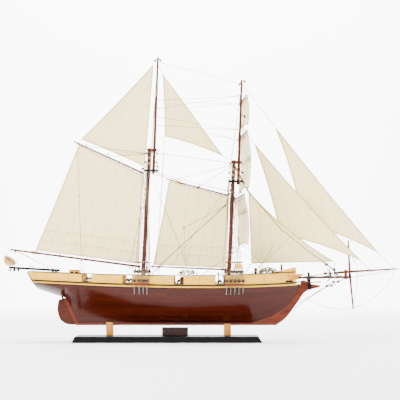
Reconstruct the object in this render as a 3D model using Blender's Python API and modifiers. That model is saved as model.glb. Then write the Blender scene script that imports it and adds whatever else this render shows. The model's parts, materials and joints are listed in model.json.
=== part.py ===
"""Two-masted topsail schooner model on a display stand, built in Blender.

Units are metres. +X points to the bow, +Y to port and +Z up. The origin is the
centre of the base board's underside.
"""

import math

import bmesh
import bpy
import numpy as np
from mathutils import Matrix, Vector

# ---------------------------------------------------------------- driving sizes
GAP = 0.0003  # clearance that touching pieces keep
OVERLAP = 0.001  # how far joined shapes and cutters reach into each other

BASE_LENGTH, BASE_WIDTH, BASE_HEIGHT = 0.440, 0.112, 0.0145
BASE_SLOPE = 0.008
POST_WIDTH, POST_DEPTH = 0.0166, 0.022
POST_AFT_X, POST_FORE_X = -0.1345, 0.1405
POST_AFT_TOP, POST_FORE_TOP = 0.0465, 0.0428
PLAQUE_LENGTH, PLAQUE_WIDTH, PLAQUE_TOP = 0.061, 0.012, 0.0345

KEEL_BOTTOM, KEEL_TOP, KEEL_HALF = 0.039, 0.0447, 0.0025
STERN_X, STERN_Z = -0.299, 0.124  # lower edge of the transom
TRANSOM_RAKE = -0.52  # how far aft the transom leans for each metre up
POST_HEEL_X, POST_HEAD_X, POST_HEAD_Z = -0.208, -0.236, 0.1035  # inner edge of the sternpost
BOW_X = 0.3105
MID_X, MID_HALF = 0.040, 0.0745  # widest section, and half the beam on deck
DECK_LOW, DECK_LOW_X = 0.1325, 0.100
RAIL_LOW, RAIL_LOW_X = 0.1545, 0.030
DECK_THICK, BULWARK_THICK = 0.0022, 0.0028
RAIL_HALF_WIDTH, RAIL_THICK = 0.0032, 0.0020
WALE_HEIGHT, WALE_THICK = 0.0030, 0.0014
PORT_LENGTH = 0.0200
PORTS_X = (-0.1825, -0.0895, 0.0280, 0.1220)
PORT_SILL = 0.0035

MAIN_FOOT, MAIN_HEAD = (-0.0585, 0.1260), (-0.0410, 0.4530)
MAIN_TOP_HEEL, MAIN_TRUCK = (-0.0325, 0.3940), (-0.0220, 0.6655)
FORE_FOOT, FORE_HEAD = (0.1430, 0.1260), (0.1560, 0.4250)
FORE_TOP_HEEL, FORE_TRUCK = (0.1655, 0.3680), (0.1740, 0.6120)
MAIN_LOWER, MAIN_UPPER = (MAIN_FOOT, MAIN_HEAD), (MAIN_TOP_HEEL, MAIN_TRUCK)
FORE_LOWER, FORE_UPPER = (FORE_FOOT, FORE_HEAD), (FORE_TOP_HEEL, FORE_TRUCK)
LOWER_RADIUS, HEAD_RADIUS = 0.0050, 0.0042
TOP_RADIUS, TRUCK_RADIUS = 0.0036, 0.0023
LOWER_HOLE, UPPER_HOLE = 0.0048, 0.0041  # in the caps and crosstrees, clear of the masts
MAIN_CAP_Z, MAIN_TREES_Z = 0.4485, 0.4005
FORE_CAP_Z, FORE_TREES_Z = 0.4200, 0.3755
TREE_HALF = 0.026  # half the length of a crosstree
SAIL_THICK = 0.0010
SHROUD_RADIUS = 0.0006
SHROUD_OUT = 0.0130  # how far outside the hull's side a shroud lands
SHEER_POLE_Z = 0.186
BRACE_ANGLE = math.radians(4.0)  # starboard yardarms lie this far forward
RUDDER_POINT, RUDDER_AXIS = (-0.2173, 0, 0.0410), (-0.0270, 0, 0.0595)
SPRIT_PIVOT, SPRIT_Y = (0.4280, 0, 0.1540), 0.0085  # the yard stands this far to port
BOAT_CENTRE, BOAT_HALF, BOAT_WALL = (-0.3663, 0, 0.1926), (0.0155, 0.0540, 0.0155), 0.0012
BOAT_TILT = math.radians(38)
ANCHOR_Y, ARM_REACH, ARM_THICK = -0.0130, 0.0165, 0.0030
# each mast's shrouds: x of their feet, x of their tops, height of the tops and of the channel
SHROUDS = {
    "main": ((-0.0735, -0.0625, -0.0530, -0.0445), (-0.0545, -0.0515, -0.0485, -0.0455), 0.3950, 0.139),
    "fore": (
        (0.1370, 0.1470, 0.1565, 0.1660, 0.1755), (0.1440, 0.1465, 0.1490, 0.1515, 0.1540), 0.3700, 0.138,
    ),
}

# ---------------------------------------------------------------- scene helpers
FINISHES = {
    "mahogany": ((0.20, 0.045, 0.018), 0.25, 0.0),
    "stem_wood": ((0.33, 0.09, 0.035), 0.30, 0.0),
    "spar_wood": ((0.26, 0.075, 0.035), 0.35, 0.0),
    "boxwood": ((0.70, 0.50, 0.26), 0.40, 0.0),
    "post_wood": ((0.68, 0.45, 0.18), 0.45, 0.0),
    "deck_wood": ((0.60, 0.42, 0.22), 0.50, 0.0),
    "black_paint": ((0.012, 0.011, 0.012), 0.35, 0.0),
    "channel_wood": ((0.25, 0.07, 0.04), 0.40, 0.0),
    "plaque_wood": ((0.035, 0.012, 0.010), 0.35, 0.0),
    "sailcloth": ((0.86, 0.80, 0.67), 0.85, 0.0),
    "dark_rope": ((0.045, 0.030, 0.022), 0.80, 0.0),
    "anchor_iron": ((0.020, 0.020, 0.022), 0.50, 0.6),
}


def clear_scene():
    for obj in list(bpy.data.objects):
        bpy.data.objects.remove(obj, do_unlink=True)


def new_collection(name, hidden=False):
    made = bpy.data.collections.new(name)
    bpy.context.scene.collection.children.link(made)
    made.hide_render = hidden
    return made


def make_materials():
    made = {}
    for name, (colour, roughness, metallic) in FINISHES.items():
        mat = bpy.data.materials.new(name)
        mat.use_nodes = True
        shader = mat.node_tree.nodes["Principled BSDF"]
        shader.inputs["Base Color"].default_value = (*colour, 1.0)
        shader.inputs["Roughness"].default_value = roughness
        shader.inputs["Metallic"].default_value = metallic
        made[name] = mat
    return made


def add(name, data, finish, helper=False):
    """Link a new object; a helper is a cutter or a joined shape, which isn't a part."""
    obj = bpy.data.objects.new(name, data)
    if helper:
        HELPERS.objects.link(obj)
        obj.hide_render = True
        obj.display_type = "WIRE"
    else:
        PARTS.objects.link(obj)
        data.materials.append(MATERIALS[finish])
    return obj


def to_mesh(name, bm):
    bmesh.ops.recalc_face_normals(bm, faces=bm.faces)
    mesh = bpy.data.meshes.new(name)
    bm.to_mesh(mesh)
    bm.free()
    return mesh


def soften(obj, width, segments=1):
    bevel = obj.modifiers.new("soft_edges", "BEVEL")
    bevel.width = width
    bevel.segments = segments
    bevel.limit_method = "ANGLE"
    bevel.harden_normals = False


def boolean(obj, other, operation):
    step = obj.modifiers.new(other.name, "BOOLEAN")
    step.operation = operation
    step.object = other


# ---------------------------------------------------------------- shape helpers
def box(name, low, high, finish="", helper=False):
    """An axis-aligned block between two corners."""
    size = Vector(high) - Vector(low)
    centre = (Vector(high) + Vector(low)) / 2
    bm = bmesh.new()
    bmesh.ops.create_cube(bm, size=1.0)
    bmesh.ops.scale(bm, verts=bm.verts, vec=size)
    obj = add(name, to_mesh(name, bm), finish, helper)
    obj.location = centre
    return obj


def beam(name, start, end, width, height, finish="", helper=False):
    """A straight square bar between two points."""
    start, end = Vector(start), Vector(end)
    bm = bmesh.new()
    bmesh.ops.create_cube(bm, size=1.0)
    bmesh.ops.scale(bm, verts=bm.verts, vec=((end - start).length, width, height))
    obj = add(name, to_mesh(name, bm), finish, helper)
    obj.location = (start + end) / 2
    obj.rotation_euler = (end - start).to_track_quat("X", "Z").to_euler()
    return obj


def rod(name, start, end, radius, end_radius=None, sides=8, finish="", helper=False):
    """A straight round bar between two points, as a mesh that can be cut or joined."""
    start, end = Vector(start), Vector(end)
    bm = bmesh.new()
    bmesh.ops.create_cone(
        bm, cap_ends=True, segments=sides, radius1=radius,
        radius2=radius if end_radius is None else end_radius, depth=(end - start).length,
    )
    mesh = to_mesh(name, bm)
    mesh.shade_smooth()
    mesh.set_sharp_from_angle(angle=math.radians(50))
    obj = add(name, mesh, finish, helper)
    obj.location = (start + end) / 2
    obj.rotation_euler = (end - start).to_track_quat("Z", "Y").to_euler()
    return obj


def spar(name, points, finish="spar_wood"):
    """A tapered round spar through (x, y, z, radius) points."""
    curve = bpy.data.curves.new(name, "CURVE")
    curve.dimensions = "3D"
    curve.bevel_depth = 1.0
    curve.bevel_resolution = 2
    curve.use_fill_caps = True
    line = curve.splines.new("POLY")
    line.points.add(len(points) - 1)
    for point, (x, y, z, radius) in zip(line.points, points):
        point.co = (x, y, z, 1.0)
        point.radius = radius
    return add(name, curve, finish)


def mast(name, foot, head, foot_radius, head_radius):
    """A raked mast between two (x, z) points."""
    return spar(name, [(foot[0], 0, foot[1], foot_radius), (head[0], 0, head[1], head_radius)])


def rounded(points, per_span):
    """A smooth line through (x, z) points, as short straight steps."""
    points = [Vector(p) for p in points]
    ends = [2 * points[0] - points[1], *points, 2 * points[-1] - points[-2]]
    line = []
    for a, b, c, d in zip(ends, ends[1:], ends[2:], ends[3:]):
        for k in range(per_span):
            t = k / per_span
            bend, twist = 2 * a - 5 * b + 4 * c - d, 3 * b - 3 * c + d - a
            line.append(0.5 * (2 * b + (c - a) * t + bend * t**2 + twist * t**3))
    return [tuple(p) for p in [*line, points[-1]]]


def outline(name, points, half_thick, finish, y=0.0, helper=False):
    """A flat board in the ship's centre plane from its (x, z) outline."""
    curve = bpy.data.curves.new(name, "CURVE")
    curve.dimensions = "2D"
    curve.fill_mode = "BOTH"
    curve.extrude = half_thick
    line = curve.splines.new("POLY")
    line.points.add(len(points) - 1)
    for point, (x, z) in zip(line.points, points):
        point.co = (x, z, 0, 1.0)
    line.use_cyclic_u = True
    obj = add(name, curve, finish, helper)
    obj.location.y = y
    obj.rotation_euler.x = math.pi / 2
    return obj


def loft(name, rings, finish):
    """A closed skin over rings that have the same number of points, with flat ends."""
    bm = bmesh.new()
    rows = [[bm.verts.new(point) for point in ring] for ring in rings]
    count = len(rows[0])
    for row, following in zip(rows, rows[1:]):
        for i in range(count):
            j = (i + 1) % count
            bm.faces.new((row[i], row[j], following[j], following[i]))
    bm.faces.new(rows[0])
    bm.faces.new(rows[-1])
    return add(name, to_mesh(name, bm), finish)


def sail(name, points, thick=SAIL_THICK):
    """A flat sail from its corner and edge points, as a sheet with a thickness."""
    bm = bmesh.new()
    bm.faces.new([bm.verts.new(point) for point in points])
    mesh = bpy.data.meshes.new(name)
    bm.to_mesh(mesh)
    bm.free()
    obj = add(name, mesh, "sailcloth")
    sheet = obj.modifiers.new("cloth_thickness", "SOLIDIFY")
    sheet.thickness = thick
    sheet.offset = 0.0
    return obj


def on_line(start, end, z):
    """The x of the line between two (x, z) points at the height z."""
    return start[0] + (end[0] - start[0]) * (z - start[1]) / (end[1] - start[1])


def pivot(name, point, axis, children, turn=0.0):
    """An empty on a joint's axis that carries the pieces that turn about it."""
    empty = bpy.data.objects.new(name, None)
    PARTS.objects.link(empty)
    facing = Vector(axis).to_track_quat("Z", "Y").to_matrix().to_4x4()
    here = Matrix.Translation(point) @ facing
    empty.matrix_world = here @ Matrix.Rotation(turn, 4, "Z")
    for child in children:
        child.parent = empty
        child.matrix_parent_inverse = here.inverted()


# ---------------------------------------------------------------- hull lines
def deck_height(x):
    rise = 7.6e-2 if x < DECK_LOW_X else 13.5e-2
    return DECK_LOW + rise * (x - DECK_LOW_X) ** 2


def rail_height(x):
    rise = 8.8e-2 if x < RAIL_LOW_X else 12.0e-2
    return RAIL_LOW + rise * (x - RAIL_LOW_X) ** 2


def half_breadth(x, bow=BOW_X, fullness=2.6):
    """Half the width of the deck at x."""
    if x > MID_X:
        reach = min(1.0, (x - MID_X) / (bow - MID_X))
        return KEEL_HALF + (MID_HALF - KEEL_HALF) * (1 - reach**fullness)
    reach = (MID_X - x) / (MID_X - STERN_X)
    return MID_HALF * (1 - 0.33 * reach**2.2)


def rail_breadth(x):
    """Half the width at the rail: the sides flare out a little towards the bow."""
    return half_breadth(x, bow=0.323, fullness=2.8) + 0.0005


def keel_line(x):
    """Height of the hull's lower edge at x: sternpost, keel, then the rounded stem."""
    return float(np.interp(x, *zip(*KEEL_POINTS)))


KEEL_POINTS = (
    (STERN_X, STERN_Z), (-0.2470, 0.1070), (POST_HEAD_X, POST_HEAD_Z), (POST_HEEL_X, KEEL_TOP),
    (0.1960, KEEL_TOP), (0.2420, 0.0590), (0.2760, 0.0800), (0.2930, 0.0970), (0.3035, 0.1150),
    (BOW_X, 0.1330),
)


def fullness_at(x):
    """Two shape numbers of a section: how hollow it starts and how full it ends."""
    xs = (STERN_X, -0.240, -0.205, -0.080, 0.030, 0.150, 0.250, BOW_X)
    hollow = (0.80, 0.95, 2.60, 1.35, 1.10, 1.15, 1.20, 1.0)
    full = (1.50, 1.70, 1.60, 2.40, 2.70, 2.20, 1.40, 1.0)
    return float(np.interp(x, xs, hollow)), float(np.interp(x, xs, full))


def stern_lean(x, z):
    """How far a point near the stern moves aft, so that the transom leans back."""
    near = min(1.0, max(0.0, (-0.240 - x) / (-0.240 - STERN_X)))
    return TRANSOM_RAKE * near * max(0.0, z - keel_line(x))


def side_breadth(x, z):
    """Half the hull's width at a height below the deck."""
    low, top = keel_line(x), deck_height(x)
    share = min(1.0, max(0.0, (z - low) / (top - low)))
    hollow, full = fullness_at(x)
    wide = half_breadth(x) - KEEL_HALF
    return KEEL_HALF - 0.0002 + wide * (1 - (1 - share**hollow) ** full)


def stations(start, end, count):
    return [start + (end - start) * i / (count - 1) for i in range(count)]


def hull_ring(x, top, levels=9):
    """One section of the hull, from the keel up the port side and down the starboard one."""
    low = keel_line(x)
    right = []
    for i in range(levels):
        z = low + (top - low) * (i / (levels - 1)) ** 1.25
        right.append(Vector((x + stern_lean(x, z), side_breadth(x, z), z)))
    left = [Vector((p.x, -p.y, p.z)) for p in reversed(right)]
    return right + left


def side_strip(name, xs, lower, upper, inner, outer, finish, side):
    """A strip along the ship's side; the four callables give its edges at x."""
    rings = []
    for x in xs:
        ring = []
        for height, breadth in ((lower, inner), (lower, outer), (upper, outer), (upper, inner)):
            z = height(x)
            ring.append(Vector((x + stern_lean(x, z), side * breadth(x, z), z)))
        rings.append(ring)
    return loft(name, rings, finish)


# ---------------------------------------------------------------- stand
def make_stand():
    half, slope = BASE_LENGTH / 2, BASE_SLOPE
    ends = [(-half, 0), (half, 0), (half - slope, BASE_HEIGHT), (slope - half, BASE_HEIGHT)]
    outline("base_board", ends, BASE_WIDTH / 2, "black_paint")
    middle = (-0.0125 + 0.049) / 2
    box(
        "name_plaque",
        (middle - PLAQUE_LENGTH / 2, -PLAQUE_WIDTH / 2, BASE_HEIGHT + GAP),
        (middle + PLAQUE_LENGTH / 2, PLAQUE_WIDTH / 2, PLAQUE_TOP),
        "plaque_wood",
    )
    for name, x, top in (
        ("stand_post_aft", POST_AFT_X, POST_AFT_TOP),
        ("stand_post_fore", POST_FORE_X, POST_FORE_TOP),
    ):
        low = BASE_HEIGHT + GAP
        half_x, half_y = POST_WIDTH / 2, POST_DEPTH / 2
        post = box(name, (x - half_x, -half_y, low), (x + half_x, half_y, top), "post_wood")
        slot = KEEL_HALF + 0.0008
        cutter = box(
            name + "_slot", (x - half_x - OVERLAP, -slot, KEEL_BOTTOM - GAP),
            (x + half_x + OVERLAP, slot, top + OVERLAP), helper=True,
        )
        soften(post, 0.0018, 2)
        boolean(post, cutter, "DIFFERENCE")


# ---------------------------------------------------------------- hull
def mast_cutter(name, foot, head, deep):
    """A hole for a mast through the deck and into the hull."""
    low, high = deep, 0.150
    ends = [(on_line(foot, head, z), 0, z) for z in (low, high)]
    return rod(name, *ends, LOWER_RADIUS + 0.0005, sides=12, helper=True)


def make_hull():
    xs = stations(STERN_X, -0.200, 9) + stations(-0.180, 0.180, 11) + stations(0.205, BOW_X, 9)
    xs = sorted({round(x, 4) for x in xs + [point[0] for point in KEEL_POINTS]})
    hull = loft("hull", [hull_ring(x, bulwark_foot(x) - GAP) for x in xs], "mahogany")
    sockets = [
        mast_cutter("main_socket", MAIN_FOOT, MAIN_HEAD, MAIN_FOOT[1] - GAP),
        mast_cutter("fore_socket", FORE_FOOT, FORE_HEAD, FORE_FOOT[1] - GAP),
    ]
    deck_rings = []
    for x in stations(-0.300, 0.288, 30):
        z = deck_height(x)
        lean = stern_lean(x, z) + 0.004 * (x < -0.299)
        edge = half_breadth(x) - BULWARK_THICK - 3 * GAP
        deck_rings.append(
            [Vector((x + lean, y, z + dz)) for y, dz in
             ((-edge, -DECK_THICK), (edge, -DECK_THICK), (edge, 0), (0, 0.0006), (-edge, 0))]
        )
    deck = loft("deck", deck_rings, "deck_wood")
    for cutter in sockets:
        boolean(hull, cutter, "DIFFERENCE")
        boolean(deck, cutter, "DIFFERENCE")
    make_keel()
    make_sides()


def make_keel():
    """Keel, stem and sternpost are one timber outline around the hull."""
    points = [
        (-0.2145, KEEL_BOTTOM), (0.254, KEEL_BOTTOM), (0.269, 0.0490), (0.282, 0.0610),
        (0.296, 0.0800), (0.311, 0.1020), (0.318, 0.1130), (0.327, 0.1200), (0.339, 0.1240),
        (0.357, 0.1280), (0.3575, 0.1330), (0.334, 0.1350), (0.323, 0.1440), (0.3125, 0.1440),
        (BOW_X + GAP, 0.1330), (0.3035 + GAP, 0.1147), (0.2933, 0.0966), (0.2763, 0.0796),
        (0.2422, 0.0586), (0.1960, KEEL_TOP - GAP), (POST_HEEL_X, KEEL_TOP - GAP),
        (POST_HEAD_X - GAP, POST_HEAD_Z - 0.0004), (-0.2440, 0.1030),
    ]
    outline("keel_and_stem", points, KEEL_HALF, "stem_wood")


def bulwark_foot(x):
    return deck_height(x) - DECK_THICK


def bulwark_top(x):
    return rail_height(x) - GAP + bow_rise(x)


def bulwark_inner(x, z):
    return side_flare(x, z) - BULWARK_THICK


def rail_low(x):
    return rail_height(x) + bow_rise(x)


def rail_high(x):
    return rail_low(x) + RAIL_THICK


def rail_inner(x, _):
    return rail_breadth(x) - BULWARK_THICK / 2 - RAIL_HALF_WIDTH


def rail_outer(x, _):
    return rail_breadth(x) - BULWARK_THICK / 2 + RAIL_HALF_WIDTH


def wale_low(x):
    return deck_height(x) - WALE_HEIGHT / 2


def wale_high(x):
    return deck_height(x) + WALE_HEIGHT / 2


def wale_inner(x, z):
    return side_flare(x, z) + 2 * GAP


def wale_outer(x, z):
    return wale_inner(x, z) + WALE_THICK


def make_sides():
    """Bulwarks with their gunports, cap rails and wales, the transom and the channels."""
    cutters = []
    for i, x in enumerate(PORTS_X):
        low = (x - PORT_LENGTH / 2, -0.1, deck_height(x) + PORT_SILL)
        high = (x + PORT_LENGTH / 2, 0.1, rail_height(x) + 0.01)
        cutters.append(box(f"gunport_{i + 1}", low, high, helper=True))
    wall_xs = stations(STERN_X, 0.300, 34)
    rail_xs = stations(STERN_X - 0.001, 0.3005, 34)
    wale_xs = stations(STERN_X, 0.304, 34)
    for word, side in (("starboard", -1), ("port", 1)):
        wall = side_strip(
            "bulwark_" + word, wall_xs, bulwark_foot, bulwark_top, bulwark_inner, side_flare, "boxwood", side
        )
        for cutter in cutters:
            boolean(wall, cutter, "DIFFERENCE")
        side_strip(
            "cap_rail_" + word, rail_xs, rail_low, rail_high, rail_inner, rail_outer, "black_paint", side
        )
        side_strip(
            "wale_" + word, wale_xs, wale_low, wale_high, wale_inner, wale_outer, "black_paint", side
        )
    make_transom()
    make_channels()


def side_flare(x, z):
    """Half the width at a height above the bulwark's foot: the sides flare out evenly."""
    foot = deck_height(x) - DECK_THICK
    share = max(0.0, (z - foot) / (rail_height(x) - foot))
    return half_breadth(x) + (rail_breadth(x) - half_breadth(x)) * share


def bow_rise(x):
    """Extra height of the bulwark at the bow."""
    return 0.0095 * min(1.0, max(0.0, (x - 0.247) / 0.050))


def make_transom():
    """The stern board follows the aft section of the hull and closes the bulwarks."""
    thick = 0.0028
    rings = []
    for back in (GAP, GAP + thick):
        ring = []
        low, deck, rail = keel_line(STERN_X), deck_height(STERN_X), rail_height(STERN_X)
        for i in range(7):
            z = low + (deck - low) * (i / 6) ** 1.25
            ring.append((side_breadth(STERN_X, z), z))
        ring.append((rail_breadth(STERN_X), rail - GAP))
        both = ring + [(-y, z) for y, z in reversed(ring)]
        rings.append(
            [Vector((STERN_X - back + TRANSOM_RAKE * (z - low), y, z)) for y, z in both]
        )
    loft("transom", rings, "mahogany")


def make_channels():
    """Ledges outside the hull that spread the shrouds."""
    for mast_name, start, end, depth in (
        ("main", -0.0790, -0.0390, 0.0050), ("fore", 0.1310, 0.1785, 0.0045),
    ):
        for word, side in (("starboard", -1), ("port", 1)):
            middle = (start + end) / 2
            low = deck_height(middle) - 0.0012
            root = max(half_breadth(start), half_breadth(end)) + WALE_THICK + 2 * GAP + 0.0006
            ys = sorted((side * root, side * (root + 0.0130)))
            ledge = box(
                f"{mast_name}_channel_{word}", (start, ys[0], low), (end, ys[1], low + depth),
                "channel_wood",
            )
            soften(ledge, 0.0008)


def make_rudder():
    """A board with a rounded trailing edge that turns about the sternpost's back."""
    trailing_edge = [
        (-0.2540, 0.0985), (-0.2570, 0.0820), (-0.2555, 0.0660), (-0.2490, 0.0510), (-0.2370, 0.0425),
        (-0.2240, 0.0405),
    ]
    points = [(-0.2452, 0.1005), *rounded(trailing_edge, 4), (-0.2182, 0.0410)]
    rudder = outline("rudder", points, 0.0019, "mahogany")
    pivot("rudder_pivot", RUDDER_POINT, RUDDER_AXIS, [rudder])


# ---------------------------------------------------------------- masts
def lined_hole(name, line, z, radius):
    """A hole along a mast's line through a plate at the height z."""
    ends = [(on_line(*line, z + dz), 0, z + dz) for dz in (-0.01, 0.01)]
    return rod(name, *ends, radius, sides=12, helper=True)


def doubling(mast_name, lower, upper, cap_z, trees_z):
    """The cap and the crosstrees that hold a topmast to its lower mast."""
    for part, z, thick, half_y, reach, finish in (
        ("cap", cap_z, 0.0062, 0.0064, 0.0062, "spar_wood"),
        ("crosstrees", trees_z, 0.0048, 0.0075, 0.0115, "black_paint"),
    ):
        low_x, top_x = on_line(*lower, z), on_line(*upper, z)
        low, high = z - thick / 2, z + thick / 2
        plate = box(
            f"{mast_name}_mast_{part}",
            (low_x - reach, -half_y, low), (top_x + reach, half_y, high), finish,
        )
        for word, line, radius in (("lower", lower, LOWER_HOLE), ("upper", upper, UPPER_HOLE)):
            hole = lined_hole(f"{mast_name}_{part}_{word}_hole", line, z, radius)
            boolean(plate, hole, "DIFFERENCE")
        if part == "crosstrees":
            for i, x in enumerate((low_x - 0.0080, top_x + 0.0075)):
                ends = [(x, y, z + 0.0008) for y in (-TREE_HALF, TREE_HALF)]
                arm = beam(f"{mast_name}_tree_{i}", *ends, 0.0026, 0.0030, helper=True)
                boolean(plate, arm, "UNION")


def make_masts():
    mast("main_lower_mast", *MAIN_LOWER, LOWER_RADIUS, HEAD_RADIUS)
    mast("main_topmast", *MAIN_UPPER, TOP_RADIUS, TRUCK_RADIUS)
    mast("fore_lower_mast", *FORE_LOWER, LOWER_RADIUS, HEAD_RADIUS)
    mast("fore_topmast", *FORE_UPPER, TOP_RADIUS, TRUCK_RADIUS)
    doubling("main", MAIN_LOWER, MAIN_UPPER, MAIN_CAP_Z, MAIN_TREES_Z)
    doubling("fore", FORE_LOWER, FORE_UPPER, FORE_CAP_Z, FORE_TREES_Z)


def make_bowsprit():
    """Bowsprit, jib-boom and their cap, and the yard that swings at the cap."""
    spar("bowsprit", [(0.268, 0, 0.1500, 0.0030), (0.3960, 0, 0.1512, 0.0030), (0.4245, 0, 0.1516, 0.0026)])
    spar(
        "jib_boom",
        [
            (0.3890, 0, 0.1610, 0.0028), (0.4250, 0, 0.1642, 0.0028), (0.4900, 0, 0.1680, 0.0025),
            (0.5400, 0, 0.1710, 0.0016),
        ],
    )
    cap = box("bowsprit_cap", (0.4140, -0.0045, 0.1465), (0.4202, 0.0045, 0.1690), "stem_wood")
    for word, aft_z, fore_z in (("lower", 0.1515, 0.1515), ("upper", 0.1626, 0.1660)):
        hole = rod(
            f"bowsprit_cap_{word}_hole", (0.40, 0, aft_z), (0.44, 0, fore_z), 0.0034, sides=12, helper=True
        )
        boolean(cap, hole, "DIFFERENCE")
    yard = spar(
        "spritsail_yard",
        [
            (0.4240, SPRIT_Y, 0.2380, 0.0019), (0.4280, SPRIT_Y, 0.1570, 0.0027),
            (0.4360, SPRIT_Y, 0.0770, 0.0019),
        ],
    )
    pivot("spritsail_pivot", SPRIT_PIVOT, (1, 0, 0), [yard])


# ---------------------------------------------------------------- fore-and-aft rig
def along(start, end, shares, hollow=0.0):
    """Points between two corners, drawn in by a hollow towards the sail's middle."""
    start, end = Vector(start), Vector(end)
    side = Vector((end.z - start.z, 0, start.x - end.x)).normalized()
    return [start.lerp(end, s) + side * hollow * 4 * s * (1 - s) for s in shares]


def gaff_sail(name, tack, clew, peak, throat):
    """A four-cornered sail in the centre plane, from its (x, z) corners."""
    corners = [(x, 0, z) for x, z in (tack, clew, peak, throat)]
    foot = along(corners[0], corners[1], (0.25, 0.5, 0.75), 0.0)
    leech = along(corners[1], corners[2], (0.25, 0.5, 0.75), 0.0)
    points = [corners[0], *foot, corners[1], *leech, corners[2], corners[3]]
    return sail(name, points)


def head_sail(name, tack, clew, head, leech_hollow, foot_hollow):
    """A three-cornered sail, with its clew off the centre plane."""
    foot = along(tack, clew, (0.25, 0.5, 0.75), foot_hollow)
    leech = along(clew, head, (0.25, 0.5, 0.75), leech_hollow)
    for share, point in zip((0.25, 0.5, 0.75), foot):
        point.y = clew[1] * share
    for share, point in zip((0.25, 0.5, 0.75), leech):
        point.y = clew[1] * (1 - share)
    return sail(name, [tack, *foot, clew, *leech, head])


def make_main_rig():
    """The boom, gaff, mainsail and gaff topsail swing together about the mast."""
    boom = spar(
        "main_boom",
        [(-0.3670, 0, 0.2160, 0.0022), (-0.2000, 0, 0.1945, 0.0032), (-0.0625, 0, 0.1760, 0.0026)],
    )
    gaff = spar("main_gaff", [(-0.2190, 0, 0.4690, 0.0016), (-0.0540, 0, 0.3935, 0.0024)])
    cloth = gaff_sail(
        "mainsail", (-0.0680, 0.1830), (-0.3080, 0.2150), (-0.2070, 0.4610), (-0.0570, 0.3905)
    )
    topsail = sail(
        "main_gaff_topsail",
        [(-0.0530, 0, 0.4105), (-0.2014, 0, 0.4740), (-0.1140, 0, 0.5640), (-0.0325, 0, 0.6490)],
    )
    point = (on_line(*MAIN_LOWER, 0.180), 0, 0.180)
    pivot("main_boom_pivot", point, axis_of(MAIN_LOWER), [boom, gaff, cloth, topsail])


def axis_of(line):
    (x0, z0), (x1, z1) = line
    return (x1 - x0, 0, z1 - z0)


def make_fore_rig():
    """The fore boom, gaff and sail swing together about the fore mast."""
    boom = spar("fore_boom", [(-0.0400, 0, 0.1770, 0.0016), (0.1388, 0, 0.1690, 0.0022)])
    gaff = spar("fore_gaff", [(-0.0020, 0, 0.3810, 0.0015), (0.1445, 0, 0.3420, 0.0022)])
    cloth = gaff_sail(
        "fore_sail", (0.1372, 0.1735), (-0.0330, 0.1810), (0.0040, 0.3765), (0.1415, 0.3396)
    )
    point = (on_line(*FORE_LOWER, 0.170), 0, 0.170)
    pivot("fore_boom_pivot", point, axis_of(FORE_LOWER), [boom, gaff, cloth])


def make_stay_sails():
    for name, tack, clew, head, leech_hollow, foot_hollow in (
        (
            "main_topmast_staysail",
            (0.1300, 0, 0.4350), (-0.0060, 0.0060, 0.4820), (-0.0110, 0, 0.6270), 0, 0.006,
        ),
        ("fore_staysail", (0.3900, 0, 0.1880), (0.1980, 0.0160, 0.1840), (0.1900, 0, 0.3520), 0, 0),
        ("jib", (0.4530, 0, 0.1900), (0.2660, 0.0240, 0.2520), (0.2030, 0, 0.4650), 0.004, 0.006),
        ("flying_jib", (0.4940, 0, 0.2080), (0.3200, 0.0260, 0.2780), (0.2520, 0, 0.5030), 0.006, 0.006),
    ):
        head_sail(name, tack, clew, head, leech_hollow, foot_hollow)


# ---------------------------------------------------------------- square rig
def square_sail(name, xs, top, bottom, half_top, half_bottom):
    """A square sail with a belly: xs are its x at even steps from head to foot."""
    rings = []
    for i, x in enumerate(xs):
        share = i / (len(xs) - 1)
        z = top + (bottom - top) * share
        half = half_top + (half_bottom - half_top) * share
        rings.append([Vector(p) for p in (
            (x, -half, z), (x + SAIL_THICK, -half, z), (x + SAIL_THICK, half, z), (x, half, z)
        )])
    return loft(name, rings, "sailcloth")


def make_square_rig():
    for word, cloth_name, x, z, half, radius, xs, foot, half_foot, line in (
        ("course", "course", 0.1670, 0.3370, 0.130, 0.0026,
         (0.1700, 0.1755, 0.1800, 0.1825, 0.1830, 0.1820, 0.1800), 0.2240, 0.116, FORE_LOWER),
        ("topsail", "topsail", 0.1755, 0.4820, 0.112, 0.0022,
         (0.1785, 0.1830, 0.1860, 0.1870, 0.1860, 0.1830, 0.1780), 0.3530, 0.118, FORE_UPPER),
        ("topgallant", "topgallant_sail", 0.1775, 0.5660, 0.086, 0.0018,
         (0.1800, 0.1825, 0.1840, 0.1845, 0.1835, 0.1815, 0.1790), 0.5000, 0.096, FORE_UPPER),
    ):
        yard = spar(
            word + "_yard",
            [(x, -half, z, radius * 0.55), (x, -half * 0.45, z, radius), (x, half * 0.45, z, radius),
             (x, half, z, radius * 0.55)],
        )
        cloth = square_sail(cloth_name, xs, z - radius - 0.0008, foot, half * 0.90, half_foot)
        point = (on_line(*line, z), 0, z)
        pivot(word + "_pivot", point, axis_of(line), [yard, cloth], BRACE_ANGLE)


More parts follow.
